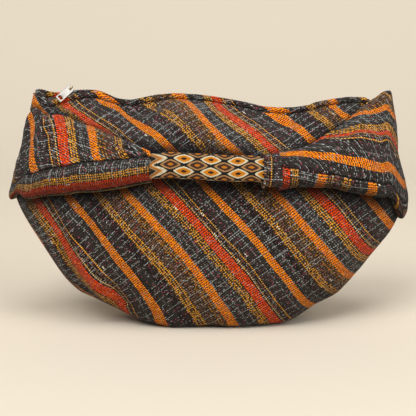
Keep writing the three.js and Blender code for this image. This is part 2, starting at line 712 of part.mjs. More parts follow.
add('front_panel', slab(FRONT.outer, FRONT.inner), COLOUR.cloth);
add('back_panel', slab(BACK.outer, BACK.inner), COLOUR.back);
add('hem_front', hem(-1, -HEM_REACH_LEFT, HEM_REACH_RIGHT), COLOUR.hem);
add('hem_back', hem(1, -HEM_REACH_LEFT, HEM_REACH_RIGHT), COLOUR.hem);
add('zip_tape_front', tape(-1), COLOUR.tape);
add('zip_tape_back', tape(1), COLOUR.tape);
add('zip_chain', chain(), COLOUR.chain);
add('zip_slider', slider(), COLOUR.metal, 0.9);
add('zip_bridge', bridge(), COLOUR.brass, 0.9);
add('zip_pull', pull(), COLOUR.metal, 0.9);
add('strap_left_outer', strapLayer(LEFT_STRAP, OUTER_LAYER, 18), COLOUR.strap);
add('strap_left_under', strapLayer(LEFT_STRAP, UNDER_LAYER, 18), COLOUR.under);
add('strap_right_outer', strapLayer(RIGHT_STRAP, OUTER_LAYER, 18), COLOUR.strap);
add('strap_right_under', strapLayer(RIGHT_STRAP, UNDER_LAYER, 18), COLOUR.under);
add('strap_core', gripCore(), COLOUR.under);
add('cuff', cuff(), COLOUR.cuff);
add('band', band(), COLOUR.band);

export default bag;
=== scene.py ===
import math
from functools import partialmethod

import bmesh
import bpy
import numpy as np
from mathutils import Matrix, Vector


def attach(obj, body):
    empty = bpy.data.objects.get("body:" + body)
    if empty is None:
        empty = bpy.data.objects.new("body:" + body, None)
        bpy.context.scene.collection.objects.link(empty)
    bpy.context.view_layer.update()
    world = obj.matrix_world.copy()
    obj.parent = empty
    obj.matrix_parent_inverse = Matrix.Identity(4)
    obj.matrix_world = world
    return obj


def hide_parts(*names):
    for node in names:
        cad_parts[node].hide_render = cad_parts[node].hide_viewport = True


# Crescent bag of striped hand-woven cloth; shapes in mm, scene in metres.
# across runs -1 to 1 from left to right, down runs 0 to 1 from the mouth to the underside seam.

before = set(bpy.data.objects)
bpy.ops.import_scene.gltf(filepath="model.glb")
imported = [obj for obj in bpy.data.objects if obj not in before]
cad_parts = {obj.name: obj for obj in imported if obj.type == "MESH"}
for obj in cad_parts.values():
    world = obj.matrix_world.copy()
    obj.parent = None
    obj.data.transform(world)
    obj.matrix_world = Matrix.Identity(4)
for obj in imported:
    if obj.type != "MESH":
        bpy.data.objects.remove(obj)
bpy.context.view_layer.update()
bpy.ops.object.select_all(action="DESELECT")

MM = 0.001

# Body
HALF_WIDTH = 204.7
HEIGHT = 238.0
FRONT_DEPTH = 84.0
BACK_DEPTH = 60.0
MOUTH_HALF_GAP = 7.5
SEAM_SHIFT = 8.0
SEAM_SHIFT_REACH = 0.5
SIDE_ROUNDING = 2.3
CLOTH_THICK = 1.6

# Hems and zip
HEM_HALF_THICK = 2.9
HEM_HALF_HEIGHT = 3.1
HEM_SINK = 0.6
HEM_REACH_LEFT = 0.992
HEM_REACH_RIGHT = 0.89
CHAIN_WIDTH = 4.8
CHAIN_RISE = 0.5
ZIP_REACH = 0.9
TEETH_PITCH = 1.9
TOOTH_SIZE = (1.15, 2.9, 2.0)
TOOTH_ASIDE = 0.95
SLIDER_X = -0.684 * HALF_WIDTH
SLIDER_LENGTH = 10.0
SLIDER_WIDTH = 5.0
SLIDER_POST = 2.4
SLIDER_PLATE = 1.3
SLIDER_GAP = 1.4
FIRST_TOOTH = 1.0
EYE_SHIFT = 1.5
EYE_RADIUS = 1.9
EYE_RISE = 8.8
EYE_REACH = 7.0
ROD_RADIUS = 0.65
PULL_LENGTH = 20.2
PULL_WIDTH = 7.5
PULL_THICK = 1.2
PULL_BAR = 1.3
PULL_WINDOW = (3.0, 4.8)
PULL_WINDOW_RIM = 2.1
PULL_CORNER = 0.6
PULL_SLOT_WIDTH = 2.6
SLOT_PLAY = 0.5
PULL_SLOPE = Vector((-0.66, -0.47, -0.585)).normalized()

# Strap, woven band and cuff
STRAP_WALL = 2.0
STRAP_SEAT = 1.2
STRAP_FOLD = 2.6
STRAP_PUFF = 13.0
BAND_HEIGHT = 23.6
BAND_THICK = 12.4
BAND_WALL = 1.6
CUFF_WIDTH = 13.6
CUFF_WALL = 2.6
CUFF_LAP = 4.0
FIT_GAP = 0.3

# Cloth: width of one repeat of the stripes, its threads, the middle of its first orange stripe,
# and the stripes that the left under layer, the gathered middle and the cuff start from
REPEAT = 121.7
THREADS = 90
ORANGE = 3.7
UNDER_STRIPE = 61
CORE_STRIPE = 60
CUFF_STRIPE = 97.5
WARP_PITCH = REPEAT / THREADS
WEFT_PITCH = 1.2

# Woven trim: one stitch, one diamond, where a diamond has its middle, and the arrows at the left end
TRIM_STITCH = 0.55
DIAMOND_LENGTH = 26.5
DIAMOND_HEIGHT = 12.6
DIAMOND_START = 20.8
ARROW_SLOPE = 1.86
ARROW_REACH = 20.0
ARROWS_END = 15.8
TRIM_ROW = 0.7

# Camera, in metres and degrees, and its lens in mm
CAMERA_AWAY = 1.3
CAMERA_RISE = 10
CAMERA_AIM = (0, 0, 0.1186)
CAMERA_LENS = 106.3

# Half width over height: share of the height, share of HALF_WIDTH left, right
SIDES = np.array([
    (0.000, 1.000, 1.000),
    (0.500, 1.000, 1.000),
    (0.560, 0.996, 0.996),
    (0.613, 0.981, 0.983),
    (0.680, 0.953, 0.962),
    (0.756, 0.934, 0.940),
    (0.820, 0.913, 0.934),
    (0.890, 0.900, 0.927),
    (0.940, 0.906, 0.921),
    (1.000, 0.889, 0.906),
])

# Underside outline: share across, share of the height
UNDERSIDE = np.array([
    (-1.000, 0.5626), (-0.969, 0.4980), (-0.910, 0.4050), (-0.860, 0.3350),
    (-0.791, 0.2380), (-0.744, 0.1780), (-0.673, 0.1185), (-0.593, 0.0902),
    (-0.508, 0.0655), (-0.414, 0.0390), (-0.343, 0.0166), (-0.281, 0.0087),
    (-0.200, 0.0000), (0.200, 0.0000), (0.320, 0.0000), (0.414, 0.0060),
    (0.507, 0.0407), (0.602, 0.0833), (0.673, 0.1120), (0.730, 0.1630),
    (0.801, 0.2340), (0.851, 0.2920), (0.902, 0.3450), (0.949, 0.4000),
    (0.977, 0.4460), (0.992, 0.4780), (1.000, 0.5050),
])

# Edge of the mouth: share across, then shares of the height, front and back
MOUTH = np.array([
    (-1.000, 1.010, 1.010), (-0.948, 0.986, 0.998), (-0.913, 0.955, 0.990),
    (-0.870, 0.955, 0.985), (-0.840, 0.968, 0.987), (-0.796, 0.977, 0.992),
    (-0.743, 0.987, 0.997), (-0.684, 0.992, 0.998), (-0.640, 0.992, 0.996),
    (-0.606, 0.985, 0.988), (-0.550, 0.973, 0.968), (-0.483, 0.962, 0.950),
    (-0.430, 0.959, 0.944), (-0.391, 0.965, 0.950), (-0.293, 0.981, 0.966),
    (-0.186, 0.988, 0.973), (-0.068, 0.983, 0.968), (0.022, 0.975, 0.960),
    (0.110, 0.963, 0.948), (0.200, 0.950, 0.935), (0.290, 0.932, 0.917),
    (0.380, 0.926, 0.911), (0.470, 0.926, 0.911), (0.560, 0.937, 0.922),
    (0.605, 0.950, 0.935), (0.690, 0.963, 0.948), (0.780, 0.972, 0.957),
    (0.870, 0.970, 0.960), (1.000, 1.015, 1.010),
])

# Section of a panel from the mouth to the seam: out and up at the middle, out and up at the sides
SECTION = np.array([
    (0.00, 1.00, 0.00, 1.000),
    (0.40, 0.95, 0.38, 0.930),
    (0.76, 0.87, 0.72, 0.820),
    (0.96, 0.72, 0.94, 0.660),
    (1.00, 0.54, 1.00, 0.480),
    (0.97, 0.36, 0.93, 0.300),
    (0.86, 0.19, 0.72, 0.150),
    (0.70, 0.06, 0.42, 0.050),
    (0.50, 0.00, 0.15, 0.008),
    (0.00, 0.00, 0.00, 0.000),
])

# How far a step down the panel counts beside a step across it
DOWN_PER_ACROSS = 1.75

# Gathers of the front: from across, down, to across, down, reach, swell as a share of the depth
GATHERS = [
    (-0.42, 0.00, -0.37, 0.17, 0.075, -0.050),
    (-0.17, 0.00, -0.12, 0.20, 0.100, 0.035),
    (0.42, 0.00, 0.38, 0.17, 0.110, -0.055),
    (0.72, 0.00, 0.62, 0.14, 0.090, 0.035),
    (-0.80, 0.02, -0.66, 0.13, 0.050, -0.045),
    (-0.93, 0.03, -0.74, 0.11, 0.045, 0.040),
    (-0.33, 0.40, -0.56, 0.72, 0.070, 0.030),
    (-0.10, 0.42, -0.16, 0.78, 0.080, -0.028),
    (0.36, 0.40, 0.52, 0.74, 0.080, 0.030),
    (0.12, 0.44, 0.20, 0.80, 0.070, -0.024),
]

# Middle of the grip: share across, then share down the front
GRIP = np.array([
    (-0.281, 0.3172),
    (-0.100, 0.3195),
    (0.100, 0.3175),
    (0.290, 0.3050),
    (0.341, 0.3030),
])

# Strap from the side to the grip: top fold, seam and lower fold (across, down), and its puff;
# the ends at the side are tucked in a little further than those of the solids
LEFT_STRAP = np.array([
    (-1.000, 0.270, -1.000, 0.695, -1.000, 0.929, 0.05),
    (-0.965, 0.174, -0.922, 0.475, -0.961, 0.641, 0.38),
    (-0.932, 0.126, -0.865, 0.407, -0.888, 0.528, 0.70),
    (-0.816, 0.133, -0.778, 0.351, -0.786, 0.439, 0.92),
    (-0.674, 0.180, -0.660, 0.317, -0.667, 0.395, 1.00),
    (-0.575, 0.196, -0.563, 0.300, -0.561, 0.377, 1.00),
    (-0.477, 0.215, -0.462, 0.290, -0.460, 0.363, 0.92),
    (-0.385, 0.243, -0.368, 0.288, -0.372, 0.358, 0.77),
    (-0.300, 0.276, -0.281, 0.294, -0.281, 0.356, 0.62),
])
RIGHT_STRAP = np.array([
    (1.000, 0.000, 1.000, 0.731, 1.000, 0.940, 0.05),
    (0.978, 0.016, 0.905, 0.482, 0.924, 0.560, 0.38),
    (0.941, 0.039, 0.834, 0.419, 0.845, 0.470, 0.70),
    (0.853, 0.066, 0.753, 0.372, 0.747, 0.408, 0.92),
    (0.754, 0.143, 0.657, 0.337, 0.648, 0.365, 1.00),
    (0.638, 0.184, 0.565, 0.317, 0.552, 0.344, 1.00),
    (0.514, 0.217, 0.458, 0.297, 0.451, 0.335, 0.92),
    (0.417, 0.231, 0.382, 0.292, 0.375, 0.344, 0.80),
    (0.364, 0.242, 0.341, 0.289, 0.341, 0.351, 0.72),
])


def in_across(mm):
    return mm / HALF_WIDTH


GRIP_START = LEFT_STRAP[-1, 2] + in_across(FIT_GAP)
GRIP_END = RIGHT_STRAP[-1, 2] - in_across(FIT_GAP)
CUFF_START = GRIP_END - in_across(CUFF_WIDTH)
BAND_END = CUFF_START + in_across(CUFF_LAP)

# Way round the strap: run is 0 at the top fold, 1 at the seam and 2 at the lower fold
OUTER_WAY = np.array([
    (0.26, 0.0, 0.00),
    (0.04, 0.0, 0.00),
    (0.00, 0.5, 0.02),
    (0.04, 1.0, 0.08),
    (0.20, 1.0, 0.42),
    (0.45, 1.0, 0.80),
    (0.75, 1.0, 1.00),
    (1.00, 1.0, 1.00),
])
UNDER_WAY = np.array([
    (1.00, 1.0, 1.00),
    (1.35, 1.0, 0.92),
    (1.70, 1.0, 0.70),
    (1.93, 1.0, 0.30),
    (2.00, 0.5, 0.06),
    (1.93, 0.0, 0.00),
    (1.60, 0.0, 0.00),
    (1.25, 0.0, 0.00),
    (0.95, 0.0, 0.00),
    (0.60, 0.0, 0.00),
    (0.26, 0.0, 0.00),
])


def ease(start, end, x):
    share = np.clip((x - start) / (end - start), 0, 1)
    return share * share * (3 - 2 * share)


def look_up(table, column, x):
    return np.interp(x, table[:, 0], table[:, column])


def look_up_smooth(table, column, x, reach=0.03):
    """Value of a table at x, eased a little round its corners."""
    room = np.minimum(reach, 1 - np.minimum(abs(x), 1))
    values = [look_up(table, column, x + room * k / 2) for k in range(-2, 3)]
    return (values[0] + 2 * values[1] + 3 * values[2] + 2 * values[3] + values[4]) / 9


def through(rows, column, t):
    """Smooth curve through evenly spaced rows, for t from 0 to 1."""
    last = len(rows) - 1
    place = np.clip(t, 0, 1) * last
    i = np.minimum(np.floor(place), last - 1).astype(int)
    f = place - i
    a, b, c, d = (rows[np.clip(i + k, 0, last), column] for k in (-1, 0, 1, 2))
    cubic = 3 * b - a - 3 * c + d
    return 0.5 * (2 * b + (c - a) * f + (2 * a - 5 * b + 4 * c - d) * f ** 2 + cubic * f ** 3)


def ripple(x, y, wavelength, seed):
    """Smooth uneven field of about -1 to 1, the same on every run."""
    dice = np.random.default_rng(seed)
    total = 0
    for _ in range(7):
        turn = dice.uniform(0, 2 * math.pi)
        wave = 2 * math.pi / (wavelength * dice.uniform(0.7, 1.5))
        total = total + np.sin(wave * (x * math.cos(turn) + y * math.sin(turn)) + dice.uniform(0, 6.3))
    return total / 4


# Form of the body


def ridges(table, across, down):
    """Height of a table's folds, each a soft ridge along its own line."""
    total = 0
    for from_a, from_d, to_a, to_d, reach, height in table:
        run_a = to_a - from_a
        run_d = (to_d - from_d) * DOWN_PER_ACROSS
        off_a = across - from_a
        off_d = (down - from_d) * DOWN_PER_ACROSS
        share = np.clip((off_a * run_a + off_d * run_d) / (run_a ** 2 + run_d ** 2), 0, 1)
        far = np.hypot(off_a - share * run_a, off_d - share * run_d) / reach
        total = total + height * np.exp(-far ** 2)
    return total


def gather(across, down):
    swell = ridges(GATHERS, across, down) * FRONT_DEPTH
    return swell * ease(0, 0.06, down) * (1 - ease(0.75, 0.88, down))


def body_point(across, down, side):
    """Point of a panel's outer face; side is -1 at the front and 1 at the back."""
    across, down = np.broadcast_arrays(np.asarray(across, float), np.asarray(down, float))
    to_side = ease(0.15, 0.75, abs(across))
    out = through(SECTION, 0, down) * (1 - to_side) + through(SECTION, 2, down) * to_side
    up = through(SECTION, 1, down) * (1 - to_side) + through(SECTION, 3, down) * to_side
    low = HEIGHT * look_up_smooth(UNDERSIDE, 1, across)
    high = HEIGHT * look_up_smooth(MOUTH, 1 if side < 0 else 2, across, 0.015)
    plain_z = low + (high - low) * np.clip(up, 0, 1)
    round_off = np.sqrt(np.maximum(0, 1 - abs(across) ** SIDE_ROUNDING))
    depth = (FRONT_DEPTH if side < 0 else BACK_DEPTH) * round_off
    mouth = MOUTH_HALF_GAP * np.minimum(1, round_off * 2.2) * (1 - ease(0, 0.25, down))
    swell = gather(across, down) * round_off if side < 0 else 0 * down
    roof = 1 - ease(0.1, 0.45, down)
    shift = SEAM_SHIFT * np.maximum(0, 1 - (across / SEAM_SHIFT_REACH) ** 2) * ease(0.85, 1, down)
    stand = depth * np.maximum(0, out) + mouth + swell * (1 - roof)
    left, right = (look_up(SIDES, column, plain_z / HEIGHT) for column in (1, 2))
    share = np.where(across < 0, left, right)
    return np.stack([across * HALF_WIDTH * share, side * stand + shift, plain_z + swell * roof], -1)


def unit(vectors):
    return vectors / np.maximum(np.linalg.norm(vectors, axis=-1, keepdims=True), 1e-9)


def panel_normal(across, down, side):
    a = np.clip(across, -0.998, 0.998)
    d = np.clip(down, 0.002, 0.985)
    along_a = body_point(a + 0.001, d, side) - body_point(a - 0.001, d, side)
    along_d = body_point(a, d + 0.002, side) - body_point(a, d - 0.002, side)
    return unit(-side * np.cross(along_d, along_a))


def on_front(across, down, lift):
    return body_point(across, down, -1) + panel_normal(across, down, -1) * np.asarray(lift)[..., None]


def strap_point(table, t, run, lift):
    t, run, lift = np.broadcast_arrays(t, run, lift)
    first = np.clip(run, 0, 1)
    second = np.clip(run - 1, 0, 1)
    place = []
    for top, seam, fold in ((0, 2, 4), (1, 3, 5)):
        at_top, at_seam, at_fold = (through(table, k, t) for k in (top, seam, fold))
        place.append(at_top + (at_seam - at_top) * first + (at_fold - at_seam) * second)
    return on_front(np.clip(place[0], -1, 1), np.clip(place[1], 0, 0.99), lift)


def full_turn(size):
    return np.linspace(0, 2 * math.pi, size + 1)[None, :]


def run_lengths(points, axis):
    """Length from the grid's first row or column to each point."""
    steps = np.linalg.norm(np.diff(points, axis=axis), axis=-1)
    start = np.zeros_like(np.take(steps, [0], axis))
    return np.concatenate([start, np.cumsum(steps, axis)], axis)


def grid_normals(points, ring=False):
    """Normals of a grid; in a ring the last column meets the first."""
    along_i = np.gradient(points, axis=0)
    along_j = np.roll(points, -1, 1) - np.roll(points, 1, 1) if ring else np.gradient(points, axis=1)
    return unit(np.cross(along_i, along_j))


# Meshes from grids of points


def new_object(name, data):
    made = bpy.data.objects.new(name, data)
    bpy.context.scene.collection.objects.link(made)
    return made


def smooth(mesh):
    mesh.polygons.foreach_set("use_smooth", [True] * len(mesh.polygons))


def select_only(*pieces):
    bpy.ops.object.select_all(action="DESELECT")
    for piece in pieces:
        piece.select_set(True)
    bpy.context.view_layer.objects.active = pieces[0]


def cloth_mesh(name, grids, wall=0.0, merge=0.0):
    """One mesh from grids of (points, weave, painted shade); weave is (along, across the threads) in mm."""
    mesh = bpy.data.meshes.new(name)
    verts, faces, weaves, painted_shades = [], [], [], []
    for points, weave, *painted_shade in grids:
        rows, columns = points.shape[:2]
        start = len(verts)
        verts.extend(map(tuple, points.reshape(-1, 3) * MM))
        flat = weave.reshape(-1, 2)
        i, j = np.meshgrid(np.arange(rows - 1), np.arange(columns - 1), indexing="ij")
        first = (i * columns + j).ravel()
        quads = np.stack([first, first + 1, first + columns + 1, first + columns], 1)
        faces.extend(map(tuple, quads + start))
        weaves.append(flat[quads].reshape(-1, 2))
        painted_shades.append(np.clip(painted_shade[0], 0, 1).ravel() if painted_shade else np.zeros(len(flat)))
    mesh.from_pydata(verts, [], faces)
    uv = mesh.uv_layers.new(name="Weave")
    uv.data.foreach_set("uv", (np.concatenate(weaves) * MM).astype(np.float32).ravel())
    # Painted shade per point, 0 to 1: the cloth's colour is darkened by it where shadow falls in folds and
    # beside the strap
    painted_shade_layer = mesh.attributes.new("PaintedShade", "FLOAT", "POINT")
    painted_shade_layer.data.foreach_set("value", np.concatenate(painted_shades).astype(np.float32))
    piece = new_object(name, mesh)
    if merge:
        shape = bmesh.new()
        shape.from_mesh(mesh)
        bmesh.ops.remove_doubles(shape, verts=shape.verts, dist=merge * MM)
        bmesh.ops.dissolve_degenerate(shape, edges=shape.edges, dist=0.001 * MM)
        shape.to_mesh(mesh)
        shape.free()
    if wall:
        thick = piece.modifiers.new("wall", "SOLIDIFY")
        thick.thickness = wall * MM
        thick.offset = -1
        thick.use_even_offset = False
        apply_modifiers(piece)
    smooth(mesh)
    return piece


def apply_modifiers(piece):
    select_only(piece)
    for modifier in list(piece.modifiers):
        bpy.ops.object.modifier_apply(modifier=modifier.name)
    piece.select_set(False)


def close_ends(piece):
    """Fills each open edge loop of a piece with faces."""
    shape = bmesh.new()
    shape.from_mesh(piece.data)
    bmesh.ops.holes_fill(shape, edges=[e for e in shape.edges if e.is_boundary], sides=0)
    bmesh.ops.triangulate(shape, faces=[f for f in shape.faces if len(f.verts) > 4])
    bmesh.ops.recalc_face_normals(shape, faces=shape.faces)
    shape.to_mesh(piece.data)
    shape.free()


def finish_piece(piece, slot, material, *nodes, body="bag"):
    piece.data.materials.clear()
    piece.data.materials.append(material)
    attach(piece, body)
    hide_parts(*nodes)
    return piece


# Materials


def socket_value(node, name, value):
    node.inputs[name].default_value = value


class Recipe:
    """Short hand for the nodes of one material."""

    def __init__(self, name, roughness, metallic=0.0, sheen=0.0):
        self.material = bpy.data.materials.new(name)
        self.material.use_nodes = True
        self.tree = self.material.node_tree
        self.shader = self.tree.nodes["Principled BSDF"]
        socket_value(self.shader, "Roughness", roughness)
        socket_value(self.shader, "Metallic", metallic)
        socket_value(self.shader, "Sheen Weight", sheen)
        socket_value(self.shader, "Sheen Roughness", 0.6)
        socket_value(self.shader, "Specular IOR Level", 0.5 if metallic else 0.12)

    def node(self, kind, **settings):
        made = self.tree.nodes.new(kind)
        for key, value in settings.items():
            setattr(made, key, value)
        return made

    def feed(self, socket, value):
        """Wires an output to a socket, or sets the socket to a number or a colour."""
        if isinstance(value, bpy.types.NodeSocket):
            self.tree.links.new(value, socket)
        elif isinstance(value, tuple):
            socket.default_value = (*value, 1)
        else:
            socket.default_value = value

    def math(self, operation, a, b=0.0):
        made = self.node("ShaderNodeMath", operation=operation)
        self.feed(made.inputs[0], a)
        self.feed(made.inputs[1], b)
        return made.outputs[0]

    plus = partialmethod(math, "ADD")
    minus = partialmethod(math, "SUBTRACT")
    times = partialmethod(math, "MULTIPLY")
    over = partialmethod(math, "DIVIDE")
    power = partialmethod(math, "POWER")
    below = partialmethod(math, "LESS_THAN")
    above = partialmethod(math, "GREATER_THAN")
    most = partialmethod(math, "MAXIMUM")
    rest = partialmethod(math, "FLOORED_MODULO")
    floor = partialmethod(math, "FLOOR")
    whole = partialmethod(math, "ROUND")
    size = partialmethod(math, "ABSOLUTE")

    def line(self, base, gain, value):
        """Base plus gain times the value."""
        return self.plus(base, self.times(value, gain))

    def crown(self, place):
        """Rounded rise and fall over each whole step, from 0 to 1 and back."""
        return self.math("SINE", self.times(self.math("FRACT", place), math.pi))

    def mix(self, share, a, b, blend="MIX"):
        made = self.node("ShaderNodeMix", data_type="RGBA", blend_type=blend)
        for name, value in (("Factor", share), ("A", a), ("B", b)):
            self.feed(made.inputs[name], value)
        return made.outputs["Result"]

    def ramp(self, share, stops):
        """Colour of the last stop that the share has passed."""
        made = self.node("ShaderNodeValToRGB")
        made.color_ramp.interpolation = "CONSTANT"
        elements = made.color_ramp.elements
        elements.remove(elements[1])
        for place, colour in stops:
            element = elements.new(place) if place else elements[0]
            element.position = place
            element.color = (*colour, 1)
        self.feed(made.inputs["Fac"], share)
        return made.outputs["Color"]

    def parts(self, colour):
        made = self.node("ShaderNodeSeparateColor")
        self.feed(made.inputs["Color"], colour)
        return made.outputs

    def weave_axes(self):
        """Place along and across the threads, in mm, from the piece's own weave map."""
        uv = self.node("ShaderNodeUVMap", uv_map="Weave")
        split = self.node("ShaderNodeSeparateXYZ")
        self.feed(split.inputs["Vector"], uv.outputs["UV"])
        return [self.times(split.outputs[name], 1 / MM) for name in ("X", "Y")]

    def joined(self, places):
        join = self.node("ShaderNodeCombineXYZ")
        for socket, value in zip(join.inputs, places):
            self.feed(socket, value)
        return join.outputs["Vector"]

    def dice(self, *places):
        """A steady random number for each whole-numbered place."""
        noise = self.node("ShaderNodeTexWhiteNoise", noise_dimensions="3D")
        self.feed(noise.inputs["Vector"], self.joined(places))
        return noise.outputs["Value"]

    def cloud(self, place, scale, detail=2.0):
        noise = self.node("ShaderNodeTexNoise")
        self.feed(noise.inputs["Vector"], place)
        socket_value(noise, "Scale", scale)
        socket_value(noise, "Detail", detail)
        return noise.outputs["Fac"]

    def place(self):
        """Place in the piece's own frame, for wear that follows no threads."""
        return self.node("ShaderNodeTexCoord").outputs["Object"]

    def bump(self, height, distance, strength):
        made = self.node("ShaderNodeBump")
        socket_value(made, "Distance", distance)
        socket_value(made, "Strength", strength)
        self.feed(made.inputs["Height"], height)
        self.feed(self.shader.inputs["Normal"], made.outputs["Normal"])

    def colour(self, value, shade=None):
        """Base colour, darkened by a grey shade."""
        if shade is not None:
            grey = self.node("ShaderNodeCombineColor")
            for socket in list(grey.inputs)[:3]:
                self.feed(socket, shade)
            value = self.mix(1.0, value, grey.outputs["Color"], "MULTIPLY")
        self.feed(self.shader.inputs["Base Color"], value)


def tone(hex_code, gain=1.0):
    """Screen colour as the linear numbers that a shader takes."""
    parts = [int(hex_code[k:k + 2], 16) / 255 for k in (0, 2, 4)]
    return tuple(gain * (p / 12.92 if p <= 0.04045 else ((p + 0.055) / 1.055) ** 2.4) for p in parts)


# Threads of the striped cloth
COAL = tone("1c1714")
CHARCOAL = tone("3c3530")
SLATE = tone("7b7a78")
EMBER = tone("ff8400")
FLAME = tone("fb960c")
BRICK = tone("e84406")
CORAL = tone("f2661a")
OCHRE = tone("dd9a2c")
GOLD = tone("b87c24")
UMBER = tone("4a3524")
BARK = tone("7c5a42")
STRAW = tone("c4ac74")
ASH = tone("a8b0ae")
ROSE = tone("b04c5c")
PLUM = tone("52303a")
CREAM = tone("efe6cc")

# Threads of the trim
NIGHT = tone("1d1815")
COCOA = tone("3a2418")
MOCHA = tone("4a2e1e")
AMBER = tone("f0920c")
APRICOT = tone("dd8418")
TAN = tone("cc9860")
DUN = tone("c79a68")
IVORY = tone("fbeec8")
PEARL = tone("f3e3c4")

# Warp stripes: width in mm, main colour, other colour, share of threads in the
# other colour by chance, and every how many threads it comes by turn
STRIPES = [
    (7.4, EMBER, FLAME, 0.40, 99),
    (6.5, CHARCOAL, COAL, 0.30, 99),
    (5.4, CHARCOAL, SLATE, 0.10, 4),
    (4.0, COAL, PLUM, 0.30, 99),
    (1.4, GOLD, STRAW, 0.50, 99),
    (2.6, COAL, UMBER, 0.50, 99),
    (9.6, OCHRE, UMBER, 0.20, 2),
    (7.2, UMBER, BARK, 0.45, 99),
    (8.9, UMBER, GOLD, 0.20, 2),
    (7.4, EMBER, FLAME, 0.40, 99),
    (8.0, CHARCOAL, SLATE, 0.08, 5),
    (6.8, CHARCOAL, SLATE, 0.10, 4),
    (9.2, OCHRE, UMBER, 0.20, 2),
    (10.6, BRICK, CORAL, 0.24, 5),
    (1.4, COAL, COAL, 0.0, 99),
    (1.4, STRAW, OCHRE, 0.4, 99),
    (4.0, COAL, BARK, 0.3, 2),
    (1.4, OCHRE, STRAW, 0.3, 99),
    (3.8, COAL, UMBER, 0.5, 99),
    (7.0, CHARCOAL, PLUM, 0.20, 4),
    (7.7, CHARCOAL, SLATE, 0.08, 5),
]


def striped_cloth():
    r = Recipe("striped_cloth", 0.95, sheen=0.03)
    along, across = r.weave_axes()
    wander = r.cloud(r.joined((along, across, 0.0)), 0.03, 1.0)
    across = r.plus(across, r.times(r.minus(wander, 0.5), 2.2))
    waver = r.cloud(r.joined((across, along, 9.0)), 0.03, 1.0)
    along = r.plus(along, r.times(r.minus(waver, 0.5), 2.5))
    warp_place = r.over(across, WARP_PITCH)
    weft_place = r.over(along, WEFT_PITCH)
    warp = r.floor(warp_place)
    weft = r.floor(weft_place)
    warp_luck = r.dice(warp, 3.0, 0.0)
    weft_luck = r.dice(weft, 7.0, 0.0)
    stitch_luck = r.dice(warp, weft, 1.0)

    # Warp threads by stripe, with a few pale slubs; vivid ones are orange, red or pale
    share = r.math("FRACT", r.over(r.plus(warp, 0.5), THREADS))
    main, other, portion = [], [], []
    start = 0.0
    for width, first, second, part, turns in STRIPES:
        main.append((start / REPEAT, first))
        other.append((start / REPEAT, second))
        portion.append((start / REPEAT, (part, turns / 100, 0)))
        start += width
    by_chance, turns, _ = r.parts(r.ramp(share, portion))
    luck = r.plus(r.times(warp_luck, 0.35), r.times(stitch_luck, 0.65))
    by_chance = r.below(luck, by_chance)
    by_turn = r.below(r.rest(warp, r.times(turns, 100.0)), 0.5)
    by_turn = r.times(by_turn, r.below(stitch_luck, 0.7))
    warp_colour = r.mix(r.most(by_chance, by_turn), r.ramp(share, main), r.ramp(share, other))
    slub = r.above(r.dice(warp, r.floor(r.over(along, 5.0)), 6.0), 0.998)
    warp_colour = r.mix(slub, warp_colour, CREAM)
    vivid = r.above(r.parts(warp_colour)["Red"], 0.6)

    # Weft threads: mostly dark, every seventh one pale, with pale and rosy dots
    run = r.dice(weft, r.floor(r.over(across, 26.0)), 2.0)
    seventh = r.times(r.below(r.rest(weft, 7.0), 1.0), r.below(run, 0.8))
    stray = r.above(r.line(weft_luck, 0.2, run), 1.13)
    dot_luck = r.dice(warp, weft, 8.0)
    pale = r.times(r.most(seventh, stray), r.below(dot_luck, 0.72))
    pale = r.times(pale, r.minus(1.0, r.times(vivid, 0.6)))
    dots = r.above(dot_luck, 0.955)
    rosy = r.below(r.line(r.dice(warp, weft, 11.0), 0.12, weft_luck), 0.13)
    weft_colour = r.mix(r.dice(weft, 5.0, 3.0), COAL, CHARCOAL)
    weft_colour = r.mix(r.above(stitch_luck, 0.9), weft_colour, SLATE)
    weft_colour = r.mix(rosy, weft_colour, ROSE)
    weft_colour = r.mix(r.most(pale, dots), weft_colour, ASH)

    # Plain weave: the two sets of threads take turns on top, and pale wefts float over the warp
    odd = r.rest(r.plus(warp, weft), 2.0)
    weft_crown = r.crown(weft_place)
    warp_crown = r.crown(warp_place)
    reach = r.times(weft_crown, r.line(0.5, 0.6, stitch_luck))
    weft_shows = r.times(odd, r.above(reach, r.line(0.48, 0.08, vivid)))
    weft_shows = r.most(weft_shows, r.times(pale, r.above(weft_crown, 0.9)))
    colour = r.mix(weft_shows, warp_colour, weft_colour)

    # Uneven dye, dark gaps between threads, a rung at every second weft, and painted shade from the
    # per-point attribute, darkening folds, the strap's surroundings and the undersides
    streak = r.cloud(r.joined((r.times(along, 0.12), warp, 0.0)), 1.0, 1.0)
    gap = r.times(r.power(warp_crown, 0.6), r.line(0.5, 0.5, weft_crown))
    rung = r.crown(r.over(along, 2 * WEFT_PITCH))
    painted_shade = r.node("ShaderNodeAttribute", attribute_name="PaintedShade").outputs["Fac"]
    shade = r.line(0.8, 0.4, r.dice(warp, weft, 5.0))
    for base, gain, value in (
            (0.65, 0.7, streak), (0.02, 1.3, gap), (0.02, 1.56, rung), (0.72, -0.62, painted_shade)):
        shade = r.times(shade, r.line(base, gain, value))
    r.colour(colour, shade)
    over = r.times(weft_crown, r.minus(1.0, odd))
    r.bump(r.plus(r.times(warp_crown, r.plus(0.4, over)), weft_shows), 0.0004, 0.7)
    return r.material


CLOTH = striped_cloth()

# Body panels

# How far the stripes are pushed aside by the gathers of the mouth: x, then mm
MOUTH_DRIFT = np.array([
    (-185, 26), (-147, 22), (-126, 16), (-111, 13), (-92, 3), (-68, -3), (-24, -13), (-8, -11),
    (17, -3), (37, 0), (64, -3), (85, -8), (110, 4), (129, 15), (140, 22), (190, 26),
])
